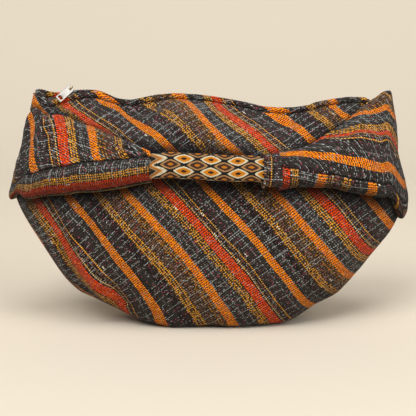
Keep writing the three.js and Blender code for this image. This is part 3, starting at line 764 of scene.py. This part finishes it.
# Place across the stripes of the body: factor, power of the place to the right, power of
# the place down, both in 100 mm; the mouth's height there, and the turn at the lower left
WEAVE_TERMS = [
    (90.89, 0, 0), (-59.41, 0, 1), (-18.07, 0, 2), (5.98, 0, 3), (76.22, 1, 0),
    (-13.6, 2, 0), (9.96, 1, 1), (-4.24, 1, 2), (6.2, 2, 1), (-0.23, 3, 0),
]
MOUTH_LEVEL = 232
LOW_LEFT_DRIFT = 26
# Rough length of the front from mouth to seam
PANEL_LENGTH = 300
# Creases of the front where it slumps: from across, down, to across, down, reach, height in mm
CREASES = [
    (-0.72, 0.44, -0.52, 0.78, 0.040, 3.6),
    (-0.62, 0.46, -0.43, 0.76, 0.034, -3.6),
    (-0.80, 0.55, -0.64, 0.76, 0.034, -2.8),
    (0.30, 0.42, 0.20, 0.62, 0.040, -1.6),
    (0.62, 0.40, 0.66, 0.62, 0.040, 1.8),
    (-0.30, 0.02, -0.22, 0.16, 0.035, -2.0),
    (0.55, 0.02, 0.48, 0.16, 0.040, 2.4),
    (-0.55, 0.03, -0.42, 0.14, 0.030, 2.2),
]


def body_weave(points, length):
    """Weave place on a panel, length mm down from the mouth: stripes that slant down to the right."""
    x = points[..., 0] / 100
    d = (length + MOUTH_LEVEL - points[:, :1, 2]) / 100
    across = sum(factor * x ** right * d ** low for factor, right, low in WEAVE_TERMS)
    across = across + look_up(MOUTH_DRIFT, 1, points[..., 0]) * np.exp(-(d / 0.45) ** 2)
    across = across - LOW_LEFT_DRIFT * ease(1.95, 2.75, d) * ease(-0.55, -1.25, x)
    return np.stack([64 * x + 77 * d, across], -1)


def crumple(points, seed):
    """Lift of the soft unevenness of worn cloth."""
    x, y, z = (points[..., k] for k in range(3))
    soft = 1.1 * (ripple(x + 0.4 * y, z - 0.6 * y, 70, seed) - 0.9)
    return soft + 0.35 * (ripple(x + 0.3 * y, z - 0.5 * y, 21, seed + 1) - 0.9)


def strap_edges(across):
    """Share down the front of the strap's upper and lower edge."""
    t = np.linspace(0, 1, 120)
    middle = np.linspace(GRIP_START + 0.02, GRIP_END - 0.02, 20)
    half = BAND_HEIGHT / 2 / PANEL_LENGTH
    edges = []
    for column, sign in ((0, -1), (4, 1)):
        left = [through(LEFT_STRAP, column + k, t) for k in (0, 1)]
        right = [through(RIGHT_STRAP, column + k, t)[::-1] for k in (0, 1)]
        places = np.concatenate([left[0], middle, right[0]])
        downs = np.concatenate([left[1], look_up(GRIP, 1, middle) + sign * half, right[1]])
        order = np.argsort(places)
        edges.append(np.interp(across, places[order], downs[order]))
    return edges


def panel_painted_shade(across, down, length):
    """Painted shade on the front: the shadow just above and below the strap and band, and darker towards
    the underside, away from the light.
    """
    upper, lower = strap_edges(across)
    whole = length[:, -1:]
    above = (upper - down) * whole
    below = (down - lower) * whole
    shade = np.where(above > 0, 1.05 * np.exp(-(above / 10) ** 2), 0.8)
    shade = np.where(below > 0, 1.15 * np.exp(-(below / 12) ** 2), shade)
    return np.maximum(shade, 0.3 * ease(0.62, 0.95, down))


def panel(name, side, node):
    across = np.sin(np.linspace(-1, 1, 241) * math.pi / 2)[:, None]
    down = np.linspace(0, 1, 121)[None, :]
    points = body_point(across, down, side)
    weave = body_weave(points, run_lengths(points, 1))
    calm = ease(0.0, 0.06, down) * (1 - ease(0.9, 0.99, down)) * (1 - ease(0.8, 0.96, abs(across)))
    lift = crumple(points, 11 if side < 0 else 17)
    if side < 0:
        lift = lift + ridges(CREASES, across, down)
    points = points + panel_normal(across, down, side) * (lift * calm)[..., None]
    if side < 0:
        grid = (points, weave, panel_painted_shade(across, down, run_lengths(points, 1)))
    else:
        grid = (points[::-1], weave[::-1])
    piece = cloth_mesh(name, [grid], wall=CLOTH_THICK)
    return finish_piece(piece, "striped_cloth", CLOTH, node)


front = panel("bag_front", -1, "front_panel")
back = panel("bag_back", 1, "back_panel")

# Strap wings

# Stripes of the left wing's outer layer: weave place, then place along the strap
# at its top fold and at its seam
LEFT_STRIPES = np.array([
    (150.0, -0.099, 0.066), (125.4, 0.095, 0.290), (91.0, 0.365, 0.455),
    (57.7, 0.530, 0.640), (32.1, 0.735, 0.815), (3.7, 0.962, 1.010), (-8.0, 1.060, 1.090),
])
# Orange stripe of the right wing's outer layer: place along the strap, then run
RIGHT_ORANGE_RUN = np.array([
    (0.00, 0.84), (0.15, 0.86), (0.35, 0.86), (0.45, 0.82), (0.55, 0.75),
    (0.65, 0.63), (0.75, 0.47), (0.85, 0.35), (1.00, 0.26),
])
# How many mm of cloth the upper pleat hides
TUCK = 9.5
# Stripes across the right wing's under layer: place along the strap, then weave place
RIGHT_UNDER_WEAVE = np.array([
    (0.000, -22.0), (0.090, -20.0), (0.180, -12.0), (0.325, 3.7), (0.485, 32.1), (0.640, 57.7),
    (0.765, 75.0), (0.825, 84.0), (0.985, 94.0), (1.000, 96.0),
])
# Edge of the right wing's upper pleat: place along the strap, run, height in mm
RIGHT_PLEAT = np.array([
    (0.10, 0.60, 0.0), (0.25, 0.58, 1.2), (0.39, 0.53, 2.6), (0.49, 0.45, 3.2),
    (0.57, 0.33, 3.4), (0.71, 0.07, 3.0), (0.86, 0.00, 1.0), (1.00, 0.00, 0.0),
])
# Steps of a wing's grid along and round the strap, and the step where it turns to the front
WING_STATIONS = 150
WING_TURNS = 90
WING_FRONT = 34


def wing_grid(table, way, side):
    """One layer of a wing: its places along and round the strap, and its points."""
    t = (np.linspace(0, 1, WING_STATIONS) ** 1.25)[:, None]
    q = np.linspace(0, 1, WING_TURNS)[None, :]
    run, fold, puff = (through(way, k, q) for k in range(3))
    stand = STRAP_PUFF * through(table, 6, t)
    t, run, fold, puff = np.broadcast_arrays(t, run, fold, puff)
    lift = STRAP_SEAT + STRAP_WALL / 2 + STRAP_FOLD * fold + stand * puff
    facing = ease(0.5, 1.0, fold)
    seam = 1.1 * np.exp(-((run - 1) * 22) ** 2) + 1.6 * (run > 1) * np.exp(-(run - 1) * 9)
    lift = lift - seam * facing * ease(0.02, 0.15, t)
    if side > 0:
        edge = look_up(RIGHT_PLEAT, 1, t)
        height = look_up(RIGHT_PLEAT, 2, t)
        width = 70 * (1 - 0.6 * t)
        step = 1 / (1 + np.exp(-np.clip((run - edge) * width / 0.7, -30, 30)))
        lift = lift + facing * height * (step * (1 - ease(0.0, 0.55, run - edge)) - 0.35 * (1 - step))
    near_band = ease(0.55, 1.0, t)
    lift = lift + facing * near_band * 0.9 * np.sin(run * 17 + 1.3 * np.sin(t * 9) + side)
    points = strap_point(table, t, run, lift)
    x, y, z = (points[..., k] for k in range(3))
    lift = lift + facing * (0.9 * ripple(x, z, 34, 31 + side) + 0.35 * ripple(x, z, 13, 35 + side))
    return t, run, strap_point(table, t, run, lift)


def stripes_across(t, run):
    """Weave place on the left wing from its stripes, which run across the strap."""
    columns = []
    for j, share in enumerate(run[0]):
        places = LEFT_STRIPES[:, 1] * (1 - share) + LEFT_STRIPES[:, 2] * share
        columns.append(np.interp(t[:, j], places, LEFT_STRIPES[:, 0]))
    return np.stack(columns, 1)


def outer_weave(side, t, run, length, width):
    if side < 0:
        return width, stripes_across(t, run)
    front_run = width - width[:, WING_FRONT:WING_FRONT + 1]
    tucked = 1 - ease(-0.04, 0.04, run - look_up(RIGHT_PLEAT, 1, t))
    across = ORANGE + REPEAT + front_run[:, -1:] * (run - look_up(RIGHT_ORANGE_RUN, 1, t))
    return length, across - TUCK * tucked


def under_weave(side, t, run, length, width):
    if side < 0:
        return length, UNDER_STRIPE + 36 * (run - 1)
    return width, look_up(RIGHT_UNDER_WEAVE, 1, t)


# Painted shade on a wing: a dark shadow line along the seam, darker towards the lower fold's underside, and
# dark at the end tucked into the side
def wing_painted_shade(t, run, width):
    past_seam = np.maximum(0, (run - 1) * width[:, -1:] / 2)
    painted_shade = np.where(run >= 0.985, 1.1 * np.exp(-(past_seam / 3.4) ** 2), 0)
    painted_shade = np.maximum(painted_shade, 0.8 * ease(1.3, 1.95, run))
    return np.maximum(painted_shade, 0.7 * (1 - ease(0, 0.07, t)))


def wing(name, table, side, *nodes):
    """Flattened tube of two layers: one ring of points for each place along the strap."""
    outer, under = (wing_grid(table, way, side) for way in (OUTER_WAY, UNDER_WAY))
    ring = np.concatenate([outer[2][:, :-1], under[2][:, :-1]], 1)
    ring = ring + grid_normals(ring, ring=True) * side * STRAP_WALL / 2
    ring = np.concatenate([ring, ring[:, :1]], 1)
    split = WING_TURNS - 1
    layers = [(outer, outer_weave, ring[:, :split + 1]), (under, under_weave, ring[:, split:])]
    grids = []
    for (t, run, points), weave_of, skin in layers:
        length, width = run_lengths(points, 0), run_lengths(points, 1)
        weave = weave_of(side, t, run, length, width)
        grids.append((skin, np.stack(np.broadcast_arrays(*weave), -1), wing_painted_shade(t, run, width)))
    piece = cloth_mesh(name, grids, merge=0.01)
    close_ends(piece)
    return finish_piece(piece, "striped_cloth", CLOTH, *nodes)


left_wing = wing("wing_left", LEFT_STRAP, -1, "strap_left_outer", "strap_left_under")
right_wing = wing("wing_right", RIGHT_STRAP, 1, "strap_right_outer", "strap_right_under")

# Rolled hems


def rings_along(path, half_a, half_b, size, reference):
    """Oval rings round a path, half_a along the reference direction."""
    ahead = unit(np.gradient(path, axis=0))
    axis_b = unit(np.cross(ahead, reference))
    axis_a = np.cross(axis_b, ahead)
    turn = full_turn(size)[..., None]
    half_a, half_b = half_a[..., None], half_b[..., None]
    return path[:, None] + half_a * np.cos(turn) * axis_a[:, None] + half_b * np.sin(turn) * axis_b[:, None]


def tapered(steps, blunt=6):
    """Roundness of a roll along its length, drawn in at both ends."""
    k = np.arange(steps)
    ends = np.minimum(k, steps - 1 - k) / blunt
    return np.sqrt(np.clip(1 - (1 - np.clip(ends, 0, 1)) ** 2, 0.02, 1))


def hem(name, side, node):
    steps, size = 420, 16
    across = np.linspace(-HEM_REACH_LEFT, HEM_REACH_RIGHT, steps)
    path = body_point(across, 0 * across, side)
    ahead = np.gradient(path, axis=0)
    away = unit(np.stack([-ahead[:, 2], 0 * ahead[:, 0], ahead[:, 0]], -1))
    path = path + away * (HEM_HALF_HEIGHT - HEM_SINK)
    length = run_lengths(path[:, None], 0)
    turn = full_turn(size)
    lumps = 1 + 0.05 * np.sin(length * 2.1 + turn) + 0.05 * ripple(length, turn * 3, 12, 41 + side)
    round_off = tapered(steps)[:, None] * lumps
    points = rings_along(path, HEM_HALF_HEIGHT * round_off, HEM_HALF_THICK * round_off, size, (0, 0, 1))
    lip_weave = body_weave(path[:, None], 0)[..., 1]
    weave = np.stack([0.35 * length + turn * 3 + 0 * lip_weave, lip_weave + turn * 2.2 * side], -1)
    piece = cloth_mesh(name, [(points, weave)], merge=0.02)
    close_ends(piece)
    return finish_piece(piece, "striped_cloth", CLOTH, node)


hem_front = hem("hem_roll_front", -1, "hem_front")
hem_back = hem("hem_roll_back", 1, "hem_back")

# Woven band, gathered strap inside it and the cuff


def on_grip(across, height, thick, size, raised):
    """Rings with flattened sides round the grip, from the top at the back."""
    middle = look_up(GRIP, 1, across)
    lift = STRAP_SEAT + BAND_THICK / 2 + raised
    step = body_point(across, middle + 0.02, -1) - body_point(across, middle - 0.02, -1)
    per_down = np.linalg.norm(step, axis=-1) / 0.04
    turn = full_turn(size) + math.pi
    rise = np.sign(np.cos(turn)) * abs(np.cos(turn)) ** 0.75 * height / 2
    stand = np.sign(np.sin(turn)) * abs(np.sin(turn)) ** 0.75 * thick / 2
    down = middle[:, None] + rise / per_down[:, None]
    return on_front(across[:, None] + 0 * turn, down, lift[:, None] + stand)


def raised_at(across):
    """How far the band stands off towards the cuff, which goes round it."""
    return (CUFF_WALL + FIT_GAP) * ease(0, CUFF_START, across)


def band():
    turns = 72
    front = slice(turns * 3 // 4, turns * 3 // 4 + 1)
    across = np.linspace(GRIP_START - in_across(1.5), BAND_END, 150)
    outer = on_grip(across, BAND_HEIGHT, BAND_THICK, turns, raised_at(across))
    length = run_lengths(outer, 0)[:, front] + 0 * outer[..., 0]
    way = run_lengths(outer, 1)
    soft = 0.28 * ripple(length, way, 26, 51)
    outer = outer + grid_normals(outer) * soft[..., None]
    weave = np.stack([length, way[:, front] - way], -1)
    return cloth_mesh("trim_band", [(outer[:, ::-1], weave[:, ::-1])], wall=BAND_WALL, merge=0.05)


trim = band()


def trim_material():
    r = Recipe("woven_trim", 0.8, sheen=0.05)
    along, up = r.weave_axes()
    # The pattern steps by whole stitches
    s, h = (r.times(r.whole(r.over(place, TRIM_STITCH)), TRIM_STITCH) for place in (along, up))
    # Lattice of long diamonds, white and tan by turns
    a = r.over(r.minus(s, DIAMOND_START), DIAMOND_LENGTH)
    b = r.over(h, DIAMOND_HEIGHT)
    slants = (r.plus(a, b), r.minus(a, b))
    cell_p, cell_m = (r.whole(slant) for slant in slants)
    off_p, off_m = (r.minus(slant, cell) for slant, cell in zip(slants, (cell_p, cell_m)))
    row = r.size(r.minus(cell_p, cell_m))
    is_white = r.above(r.math("MODULO", row, 2.0), 0.5)
    off_s = r.plus(off_p, off_m)
    off_h = r.minus(off_p, off_m)
    far = r.plus(r.size(off_s), r.size(off_h))
    round_far = r.math("SQRT", r.plus(r.power(off_s, 2.0), r.power(off_h, 2.0)))
    ring = r.plus(r.times(far, 0.55), r.times(round_far, 0.5))
    white_rows = r.ramp(ring, [(0, COCOA), (0.25, AMBER), (0.60, IVORY), (0.82, NIGHT)])
    tan_rows = r.ramp(ring, [(0, APRICOT), (0.25, MOCHA), (0.60, TAN), (0.81, NIGHT)])
    diamonds = r.mix(is_white, tan_rows, white_rows)
    # Arrow stripes at the left end
    point = r.size(r.minus(r.size(h), DIAMOND_HEIGHT / 2))
    arrow = r.plus(s, r.times(point, ARROW_SLOPE))
    chevrons = r.ramp(r.over(arrow, ARROW_REACH), [
        (0, NIGHT), (0.35, DUN), (0.465, NIGHT), (0.515, APRICOT), (0.675, PEARL), (0.775, NIGHT),
    ])
    colour = r.mix(r.below(arrow, ARROWS_END), diamonds, chevrons)
    # Floats of the pattern threads
    float_place = r.over(along, TRIM_STITCH)
    row_place = r.over(up, TRIM_ROW)
    ribs = r.crown(float_place)
    luck = r.dice(r.floor(float_place), r.floor(row_place), 4.0)
    r.colour(colour, r.times(r.line(0.3, 0.34, ribs), r.line(0.85, 0.3, luck)))
    r.bump(r.times(ribs, r.crown(row_place)), 0.0003, 0.7)
    return r.material


finish_piece(trim, "woven_trim", trim_material(), "band")


def grip_core():
    across = np.linspace(GRIP_START - in_across(1), GRIP_END, 120)
    inset = 2 * (BAND_WALL + FIT_GAP)
    points = on_grip(across, BAND_HEIGHT - inset, BAND_THICK - inset, 64, raised_at(across))
    way = run_lengths(points, 1)
    length = run_lengths(points, 0)
    pleats = 0.5 * np.sin(way * 2.2)
    points = points + grid_normals(points) * pleats[..., None]
    weave = np.stack([length, CORE_STRIPE + 0.8 * way], -1)
    piece = cloth_mesh("grip_gather", [(points, weave)], merge=0.05)
    close_ends(piece)
    return finish_piece(piece, "striped_cloth", CLOTH, "strap_core")


def cuff():
    across = np.linspace(CUFF_START - in_across(0.8), GRIP_END + in_across(0.6), 60)
    share = np.linspace(0, 1, 60)[:, None]
    outset = 2 * (CUFF_WALL + FIT_GAP)
    points = on_grip(across, BAND_HEIGHT + outset, BAND_THICK + outset, 90, raised_at(across))
    way = run_lengths(points, 1)
    length = run_lengths(points, 0)
    folds = 0.7 * np.sin(share * 12.5 + 0.6 * np.sin(way / 9)) + 0.5 * ripple(length, way, 11, 61)
    from_end = np.clip(np.minimum(share, 1 - share) / 0.16, 0, 1)
    drawn = -1.8 * (1 - np.sqrt(1 - (1 - from_end) ** 2))
    points = points - grid_normals(points) * (folds + drawn)[..., None]
    weave = np.stack([way, CUFF_STRIPE + length], -1)
    piece = cloth_mesh("cuff_wrap", [(points[:, ::-1], weave[:, ::-1])], wall=CUFF_WALL * 0.7, merge=0.05)
    return finish_piece(piece, "striped_cloth", CLOTH, "cuff")


core = grip_core()
wrap = cuff()

# Zip


def metal(name, colour, roughness):
    r = Recipe(name, roughness, metallic=1.0)
    wear = r.cloud(r.place(), 420.0, 5.0)
    r.colour(r.mix(wear, tone(colour, 0.72), tone(colour)))
    r.feed(r.shader.inputs["Roughness"], r.line(roughness - 0.1, 0.2, wear))
    r.bump(wear, 0.00004, 0.5)
    return r.material


def tape_cloth():
    r = Recipe("zip_tape", 0.9, sheen=0.1)
    along, across = r.weave_axes()
    rib = r.math("SINE", r.times(across, 2 * math.pi / 0.9))
    slant = r.math("SINE", r.times(r.plus(along, across), 2 * math.pi / 1.3))
    luck = r.cloud(r.joined((along, across, 0.0)), 0.6)
    r.colour(tone("4a403a"), r.plus(0.5, r.plus(r.times(rib, 0.2), r.times(luck, 0.6))))
    r.bump(r.plus(rib, slant), 0.00015, 0.6)
    return r.material


def coil_plastic():
    r = Recipe("zip_coil", 0.45)
    worn = r.cloud(r.place(), 300.0)
    r.colour(r.mix(worn, tone("201c1a"), tone("4a433d")))
    r.bump(worn, 0.00005, 0.4)
    return r.material


NICKEL = metal("nickel", "9a9791", 0.34)
BRASS = metal("brass", "c9a45e", 0.38)
TAPE = tape_cloth()
COIL = coil_plastic()


def mouth_across(x):
    """Share across of a place x mm from the middle of the mouth, on its left half."""
    return x / (HALF_WIDTH * SIDES[-1, 1])


def chain_height(across):
    return np.maximum(body_point(across, 0, -1)[..., 2], body_point(across, 0, 1)[..., 2]) + CHAIN_RISE


SLIDER_Z = float(chain_height(mouth_across(SLIDER_X)))
PIVOT = Vector((SLIDER_X - EYE_SHIFT, -EYE_REACH, SLIDER_Z + EYE_RISE))
PULL_ACROSS = Vector((-PULL_SLOPE.z, 0, PULL_SLOPE.x)).normalized()
PULL_FACE = PULL_SLOPE.cross(PULL_ACROSS)
TO_PULL = Matrix.Translation(PIVOT) @ Matrix((PULL_SLOPE, PULL_ACROSS, PULL_FACE)).transposed().to_4x4()
X_AXIS, Y_AXIS, Z_AXIS = Vector((1, 0, 0)), Vector((0, 1, 0)), Vector((0, 0, 1))


def set_in_place(piece, matrix, name):
    piece.name = name
    piece.data.name = name
    piece.data.transform(Matrix.Scale(MM, 4) @ matrix)
    piece.data.update()


def round_edges(piece, width, segments=3):
    bevel = piece.modifiers.new("edges", "BEVEL")
    bevel.width = width
    bevel.segments = segments
    bevel.limit_method = "ANGLE"
    bevel.angle_limit = math.radians(40)
    apply_modifiers(piece)
    piece.select_set(True)
    bpy.ops.object.shade_smooth_by_angle(angle=math.radians(35))
    piece.select_set(False)


def new_block(size, centre=(0, 0, 0)):
    """Cube of that size in edit mode, all of it selected."""
    bpy.ops.object.select_all(action="DESELECT")
    bpy.ops.mesh.primitive_cube_add(size=1)
    bpy.ops.object.mode_set(mode="EDIT")
    bpy.ops.transform.resize(value=size)
    bpy.ops.transform.translate(value=centre)
    return bpy.context.object


def choose(piece, kind, test):
    """Selects the faces or edges in edit mode whose middle passes the test."""
    bpy.ops.mesh.select_mode(type="FACE" if kind == "faces" else "EDGE")
    bpy.ops.mesh.select_all(action="DESELECT")
    shape = bmesh.from_edit_mesh(piece.data)
    for part in getattr(shape, kind):
        middle = sum((v.co for v in part.verts), Vector()) / len(part.verts)
        if test(part, middle):
            part.select_set(True)
    bmesh.update_edit_mesh(piece.data)


def score(axis, *places):
    """New edges right round the mesh in edit mode, at places along an axis."""
    for place in places:
        bpy.ops.mesh.select_all(action="SELECT")
        bpy.ops.mesh.bisect(plane_co=axis * place, plane_no=axis)


def cut_window(piece, low_x, high_x, half_y):
    """Opening through a plate that lies across its z axis."""
    score(X_AXIS, low_x, high_x)
    score(Y_AXIS, -half_y, half_y)
    choose(piece, "faces", lambda face, middle: (
        abs(face.normal.z) > 0.9 and low_x < middle.x < high_x and abs(middle.y) < half_y))
    bpy.ops.mesh.delete(type="FACE")
    choose(piece, "edges", lambda edge, middle: edge.is_boundary)
    bpy.ops.mesh.bridge_edge_loops()


def pull_tab():
    start, end = -PULL_BAR / 2, PULL_LENGTH - PULL_BAR / 2
    tab = new_block((PULL_LENGTH, PULL_WIDTH, PULL_THICK), ((start + end) / 2, 0, 0))
    choose(tab, "edges", lambda edge, middle: abs(middle.z) < 0.01 and abs(middle.y) > PULL_WIDTH * 0.49)
    bpy.ops.mesh.bevel(offset=PULL_CORNER, segments=4, affect="EDGES")
    cut_window(tab, PULL_BAR / 2, EYE_RADIUS + ROD_RADIUS + SLOT_PLAY, PULL_SLOT_WIDTH / 2)
    window_end = end - PULL_WINDOW_RIM
    cut_window(tab, window_end - PULL_WINDOW[0], window_end, PULL_WINDOW[1] / 2)
    bpy.ops.object.mode_set(mode="OBJECT")
    round_edges(tab, 0.3)
    set_in_place(tab, TO_PULL, "pull_tab")
    return finish_piece(tab, "nickel", NICKEL, "zip_pull", body="pull")


def bridge_rod():
    curl_start = PIVOT - PULL_FACE * EYE_RADIUS
    foot = Vector((curl_start.x, curl_start.y / 2, SLIDER_Z + SLIDER_GAP + SLIDER_PLATE + 0.2))
    path = [foot, foot.lerp(curl_start, 0.4), foot.lerp(curl_start, 0.75)]
    for turn in range(10, 291, 10):
        angle = math.radians(turn)
        path.append(PIVOT - EYE_RADIUS * (math.cos(angle) * PULL_FACE + math.sin(angle) * PULL_SLOPE))
    curve = bpy.data.curves.new("bridge_rod", "CURVE")
    curve.dimensions = "3D"
    curve.bevel_depth = ROD_RADIUS
    curve.bevel_resolution = 4
    curve.use_fill_caps = True
    spline = curve.splines.new("POLY")
    spline.points.add(len(path) - 1)
    for point, place in zip(spline.points, path):
        point.co = (*place, 1)
    select_only(new_object("bridge_rod", curve))
    bpy.ops.object.convert(target="MESH")
    rod = bpy.context.object
    bpy.ops.object.mode_set(mode="EDIT")
    bpy.ops.mesh.select_all(action="SELECT")
    bpy.ops.mesh.remove_doubles(threshold=0.001)
    bpy.ops.object.mode_set(mode="OBJECT")
    smooth(rod.data)
    rod.select_set(False)
    set_in_place(rod, Matrix.Identity(4), "bridge_rod")
    return finish_piece(rod, "brass", BRASS, "zip_bridge")


def runner():
    """The slider: two plates joined by a post at the closed end."""
    high = SLIDER_GAP + SLIDER_PLATE
    body = new_block((SLIDER_LENGTH, SLIDER_WIDTH, 2 * high))
    mouth = -SLIDER_LENGTH / 2 + SLIDER_POST
    score(X_AXIS, mouth)
    score(Z_AXIS, SLIDER_GAP, -SLIDER_GAP)
    choose(body, "faces", lambda face, middle: abs(middle.z) < SLIDER_GAP / 2 and middle.x > mouth + 0.01)
    bpy.ops.mesh.delete(type="FACE")
    for sign in (-1, 1):
        choose(body, "edges", lambda edge, middle: edge.is_boundary and sign * middle.z > 0.01)
        bpy.ops.mesh.edge_face_add()
    choose(body, "edges", lambda edge, middle: edge.is_boundary)
    bpy.ops.mesh.edge_face_add()
    bpy.ops.mesh.select_all(action="SELECT")
    bpy.ops.mesh.normals_make_consistent(inside=False)
    bpy.ops.object.mode_set(mode="OBJECT")
    round_edges(body, 0.45)
    set_in_place(body, Matrix.Translation((SLIDER_X, 0, SLIDER_Z)), "zip_runner")
    return finish_piece(body, "nickel", NICKEL, "zip_slider")


def zip_teeth():
    tooth = new_block(TOOTH_SIZE)
    bpy.ops.mesh.bevel(offset=0.3, segments=1, affect="EDGES")
    bpy.ops.object.mode_set(mode="OBJECT")
    start = SLIDER_X - SLIDER_LENGTH / 2 + SLIDER_POST + FIRST_TOOTH
    across = np.linspace(mouth_across(start), ZIP_REACH, 400)
    path = body_point(across, 0 * across, -1)
    path[:, 1] = 0
    path[:, 2] = chain_height(across)
    run = run_lengths(path[:, None], 0)[:, 0]
    copies = []
    for k in range(int(run[-1] / (TEETH_PITCH / 2))):
        at = [float(np.interp(k * TEETH_PITCH / 2, run, path[:, column])) for column in range(3)]
        side = 1 if k % 2 else -1
        copy = new_object("tooth", tooth.data.copy())
        copy.data.transform(Matrix.Scale(MM, 4) @ Matrix.Translation((at[0], side * TOOTH_ASIDE, at[2])))
        copies.append(copy)
    bpy.data.objects.remove(tooth)
    select_only(*copies)
    bpy.ops.object.join()
    teeth = bpy.context.object
    teeth.name = "zip_teeth"
    teeth.data.name = "zip_teeth"
    teeth.select_set(False)
    return finish_piece(teeth, "zip_coil", COIL, "zip_chain")


def zip_tape(name, side, node):
    """Strip from the teeth, down beside the hem and under the panel's lip."""
    beside_teeth, beside_hem, below_hem, under_lip = 3.1, 4.2, 1.5, 3.4
    across = np.linspace(-ZIP_REACH, ZIP_REACH, 300)
    lip = body_point(across, 0 * across, side)
    rows = [np.stack([lip[:, 0], 0 * across + side * beside_teeth, chain_height(across)], -1)]
    rows.append(np.stack([lip[:, 0], 0 * across + side * beside_hem, lip[:, 2] - below_hem], -1))
    for down in (0.02, 0.05, 0.085):
        under = body_point(across, down + 0 * across, side)
        rows.append(under - panel_normal(across, down + 0 * across, side) * under_lip)
    points = np.stack(rows, 1)
    weave = np.stack([run_lengths(points, 0), run_lengths(points, 1)], -1)
    if side > 0:
        points, weave = points[::-1], weave[::-1]
    piece = cloth_mesh(name, [(points, weave)], wall=0.7)
    return finish_piece(piece, "zip_tape", TAPE, node)


pull_tab()
bridge_rod()
runner()
zip_teeth()
tape_front = zip_tape("tape_front", -1, "zip_tape_front")
tape_back = zip_tape("tape_back", 1, "zip_tape_back")

# Floor, light and camera, in metres


def studio():
    """Paper floor that curves up behind the bag."""
    width, depth, rise, radius = 8.0, 2.2, 4.0, 1.2
    profile = [(-depth, 0.0)]
    for k in range(17):
        turn = k / 16 * math.pi / 2
        profile.append((depth - radius + radius * math.sin(turn), radius - radius * math.cos(turn)))
    profile.append((depth, rise))
    mesh = bpy.data.meshes.new("floor")
    verts = [(x, y, z) for y, z in profile for x in (-width / 2, width / 2)]
    faces = [(2 * k, 2 * k + 1, 2 * k + 3, 2 * k + 2) for k in range(len(profile) - 1)]
    mesh.from_pydata(verts, [], faces)
    smooth(mesh)
    floor = new_object("floor", mesh)
    paper = Recipe("backdrop_paper", 0.95)
    paper.colour(tone("efe4d2", 0.72))
    mesh.materials.append(paper.material)


def aim(name, data, place, target):
    made = new_object(name, data)
    made.location = place
    made.rotation_euler = (Vector(target) - Vector(place)).to_track_quat("-Z", "Y").to_euler()
    return made


def lamp(name, place, target, size, power, colour):
    data = bpy.data.lights.new(name, "AREA")
    data.shape = "RECTANGLE"
    data.size = data.size_y = size
    data.energy = power
    data.color = colour
    aim(name, data, place, target)


def camera():
    data = bpy.data.cameras.new("camera")
    data.sensor_width = 36
    data.lens = CAMERA_LENS
    data.clip_end = 50
    rise = math.radians(CAMERA_RISE)
    place = Vector(CAMERA_AIM) + CAMERA_AWAY * Vector((0, -math.cos(rise), math.sin(rise)))
    bpy.context.scene.camera = aim("camera", data, place, CAMERA_AIM)


# Lamps: name, place, aim, size in metres, watts and colour
LAMPS = [
    ("key", (-1.3, -3.2, 3.3), (0, 0, 0.1), 2.2, 150, (1, 0.99, 0.97)),
    ("top", (0.4, -1.7, 4.1), (0, 0, 0), 2.6, 112, (1, 0.99, 0.98)),
    ("fill", (2.6, -3.0, 2.2), (0, 0, 0.1), 2.4, 84, (1, 1, 1)),
]
studio()
camera()
for row in LAMPS:
    lamp(*row)
world = bpy.data.worlds.new("soft_room")
world.use_nodes = True
world.node_tree.nodes["Background"].inputs["Color"].default_value = (1, 0.985, 0.965, 1)
world.node_tree.nodes["Background"].inputs["Strength"].default_value = 0.26
bpy.context.scene.world = world
bpy.context.scene.view_settings.view_transform = "Standard"
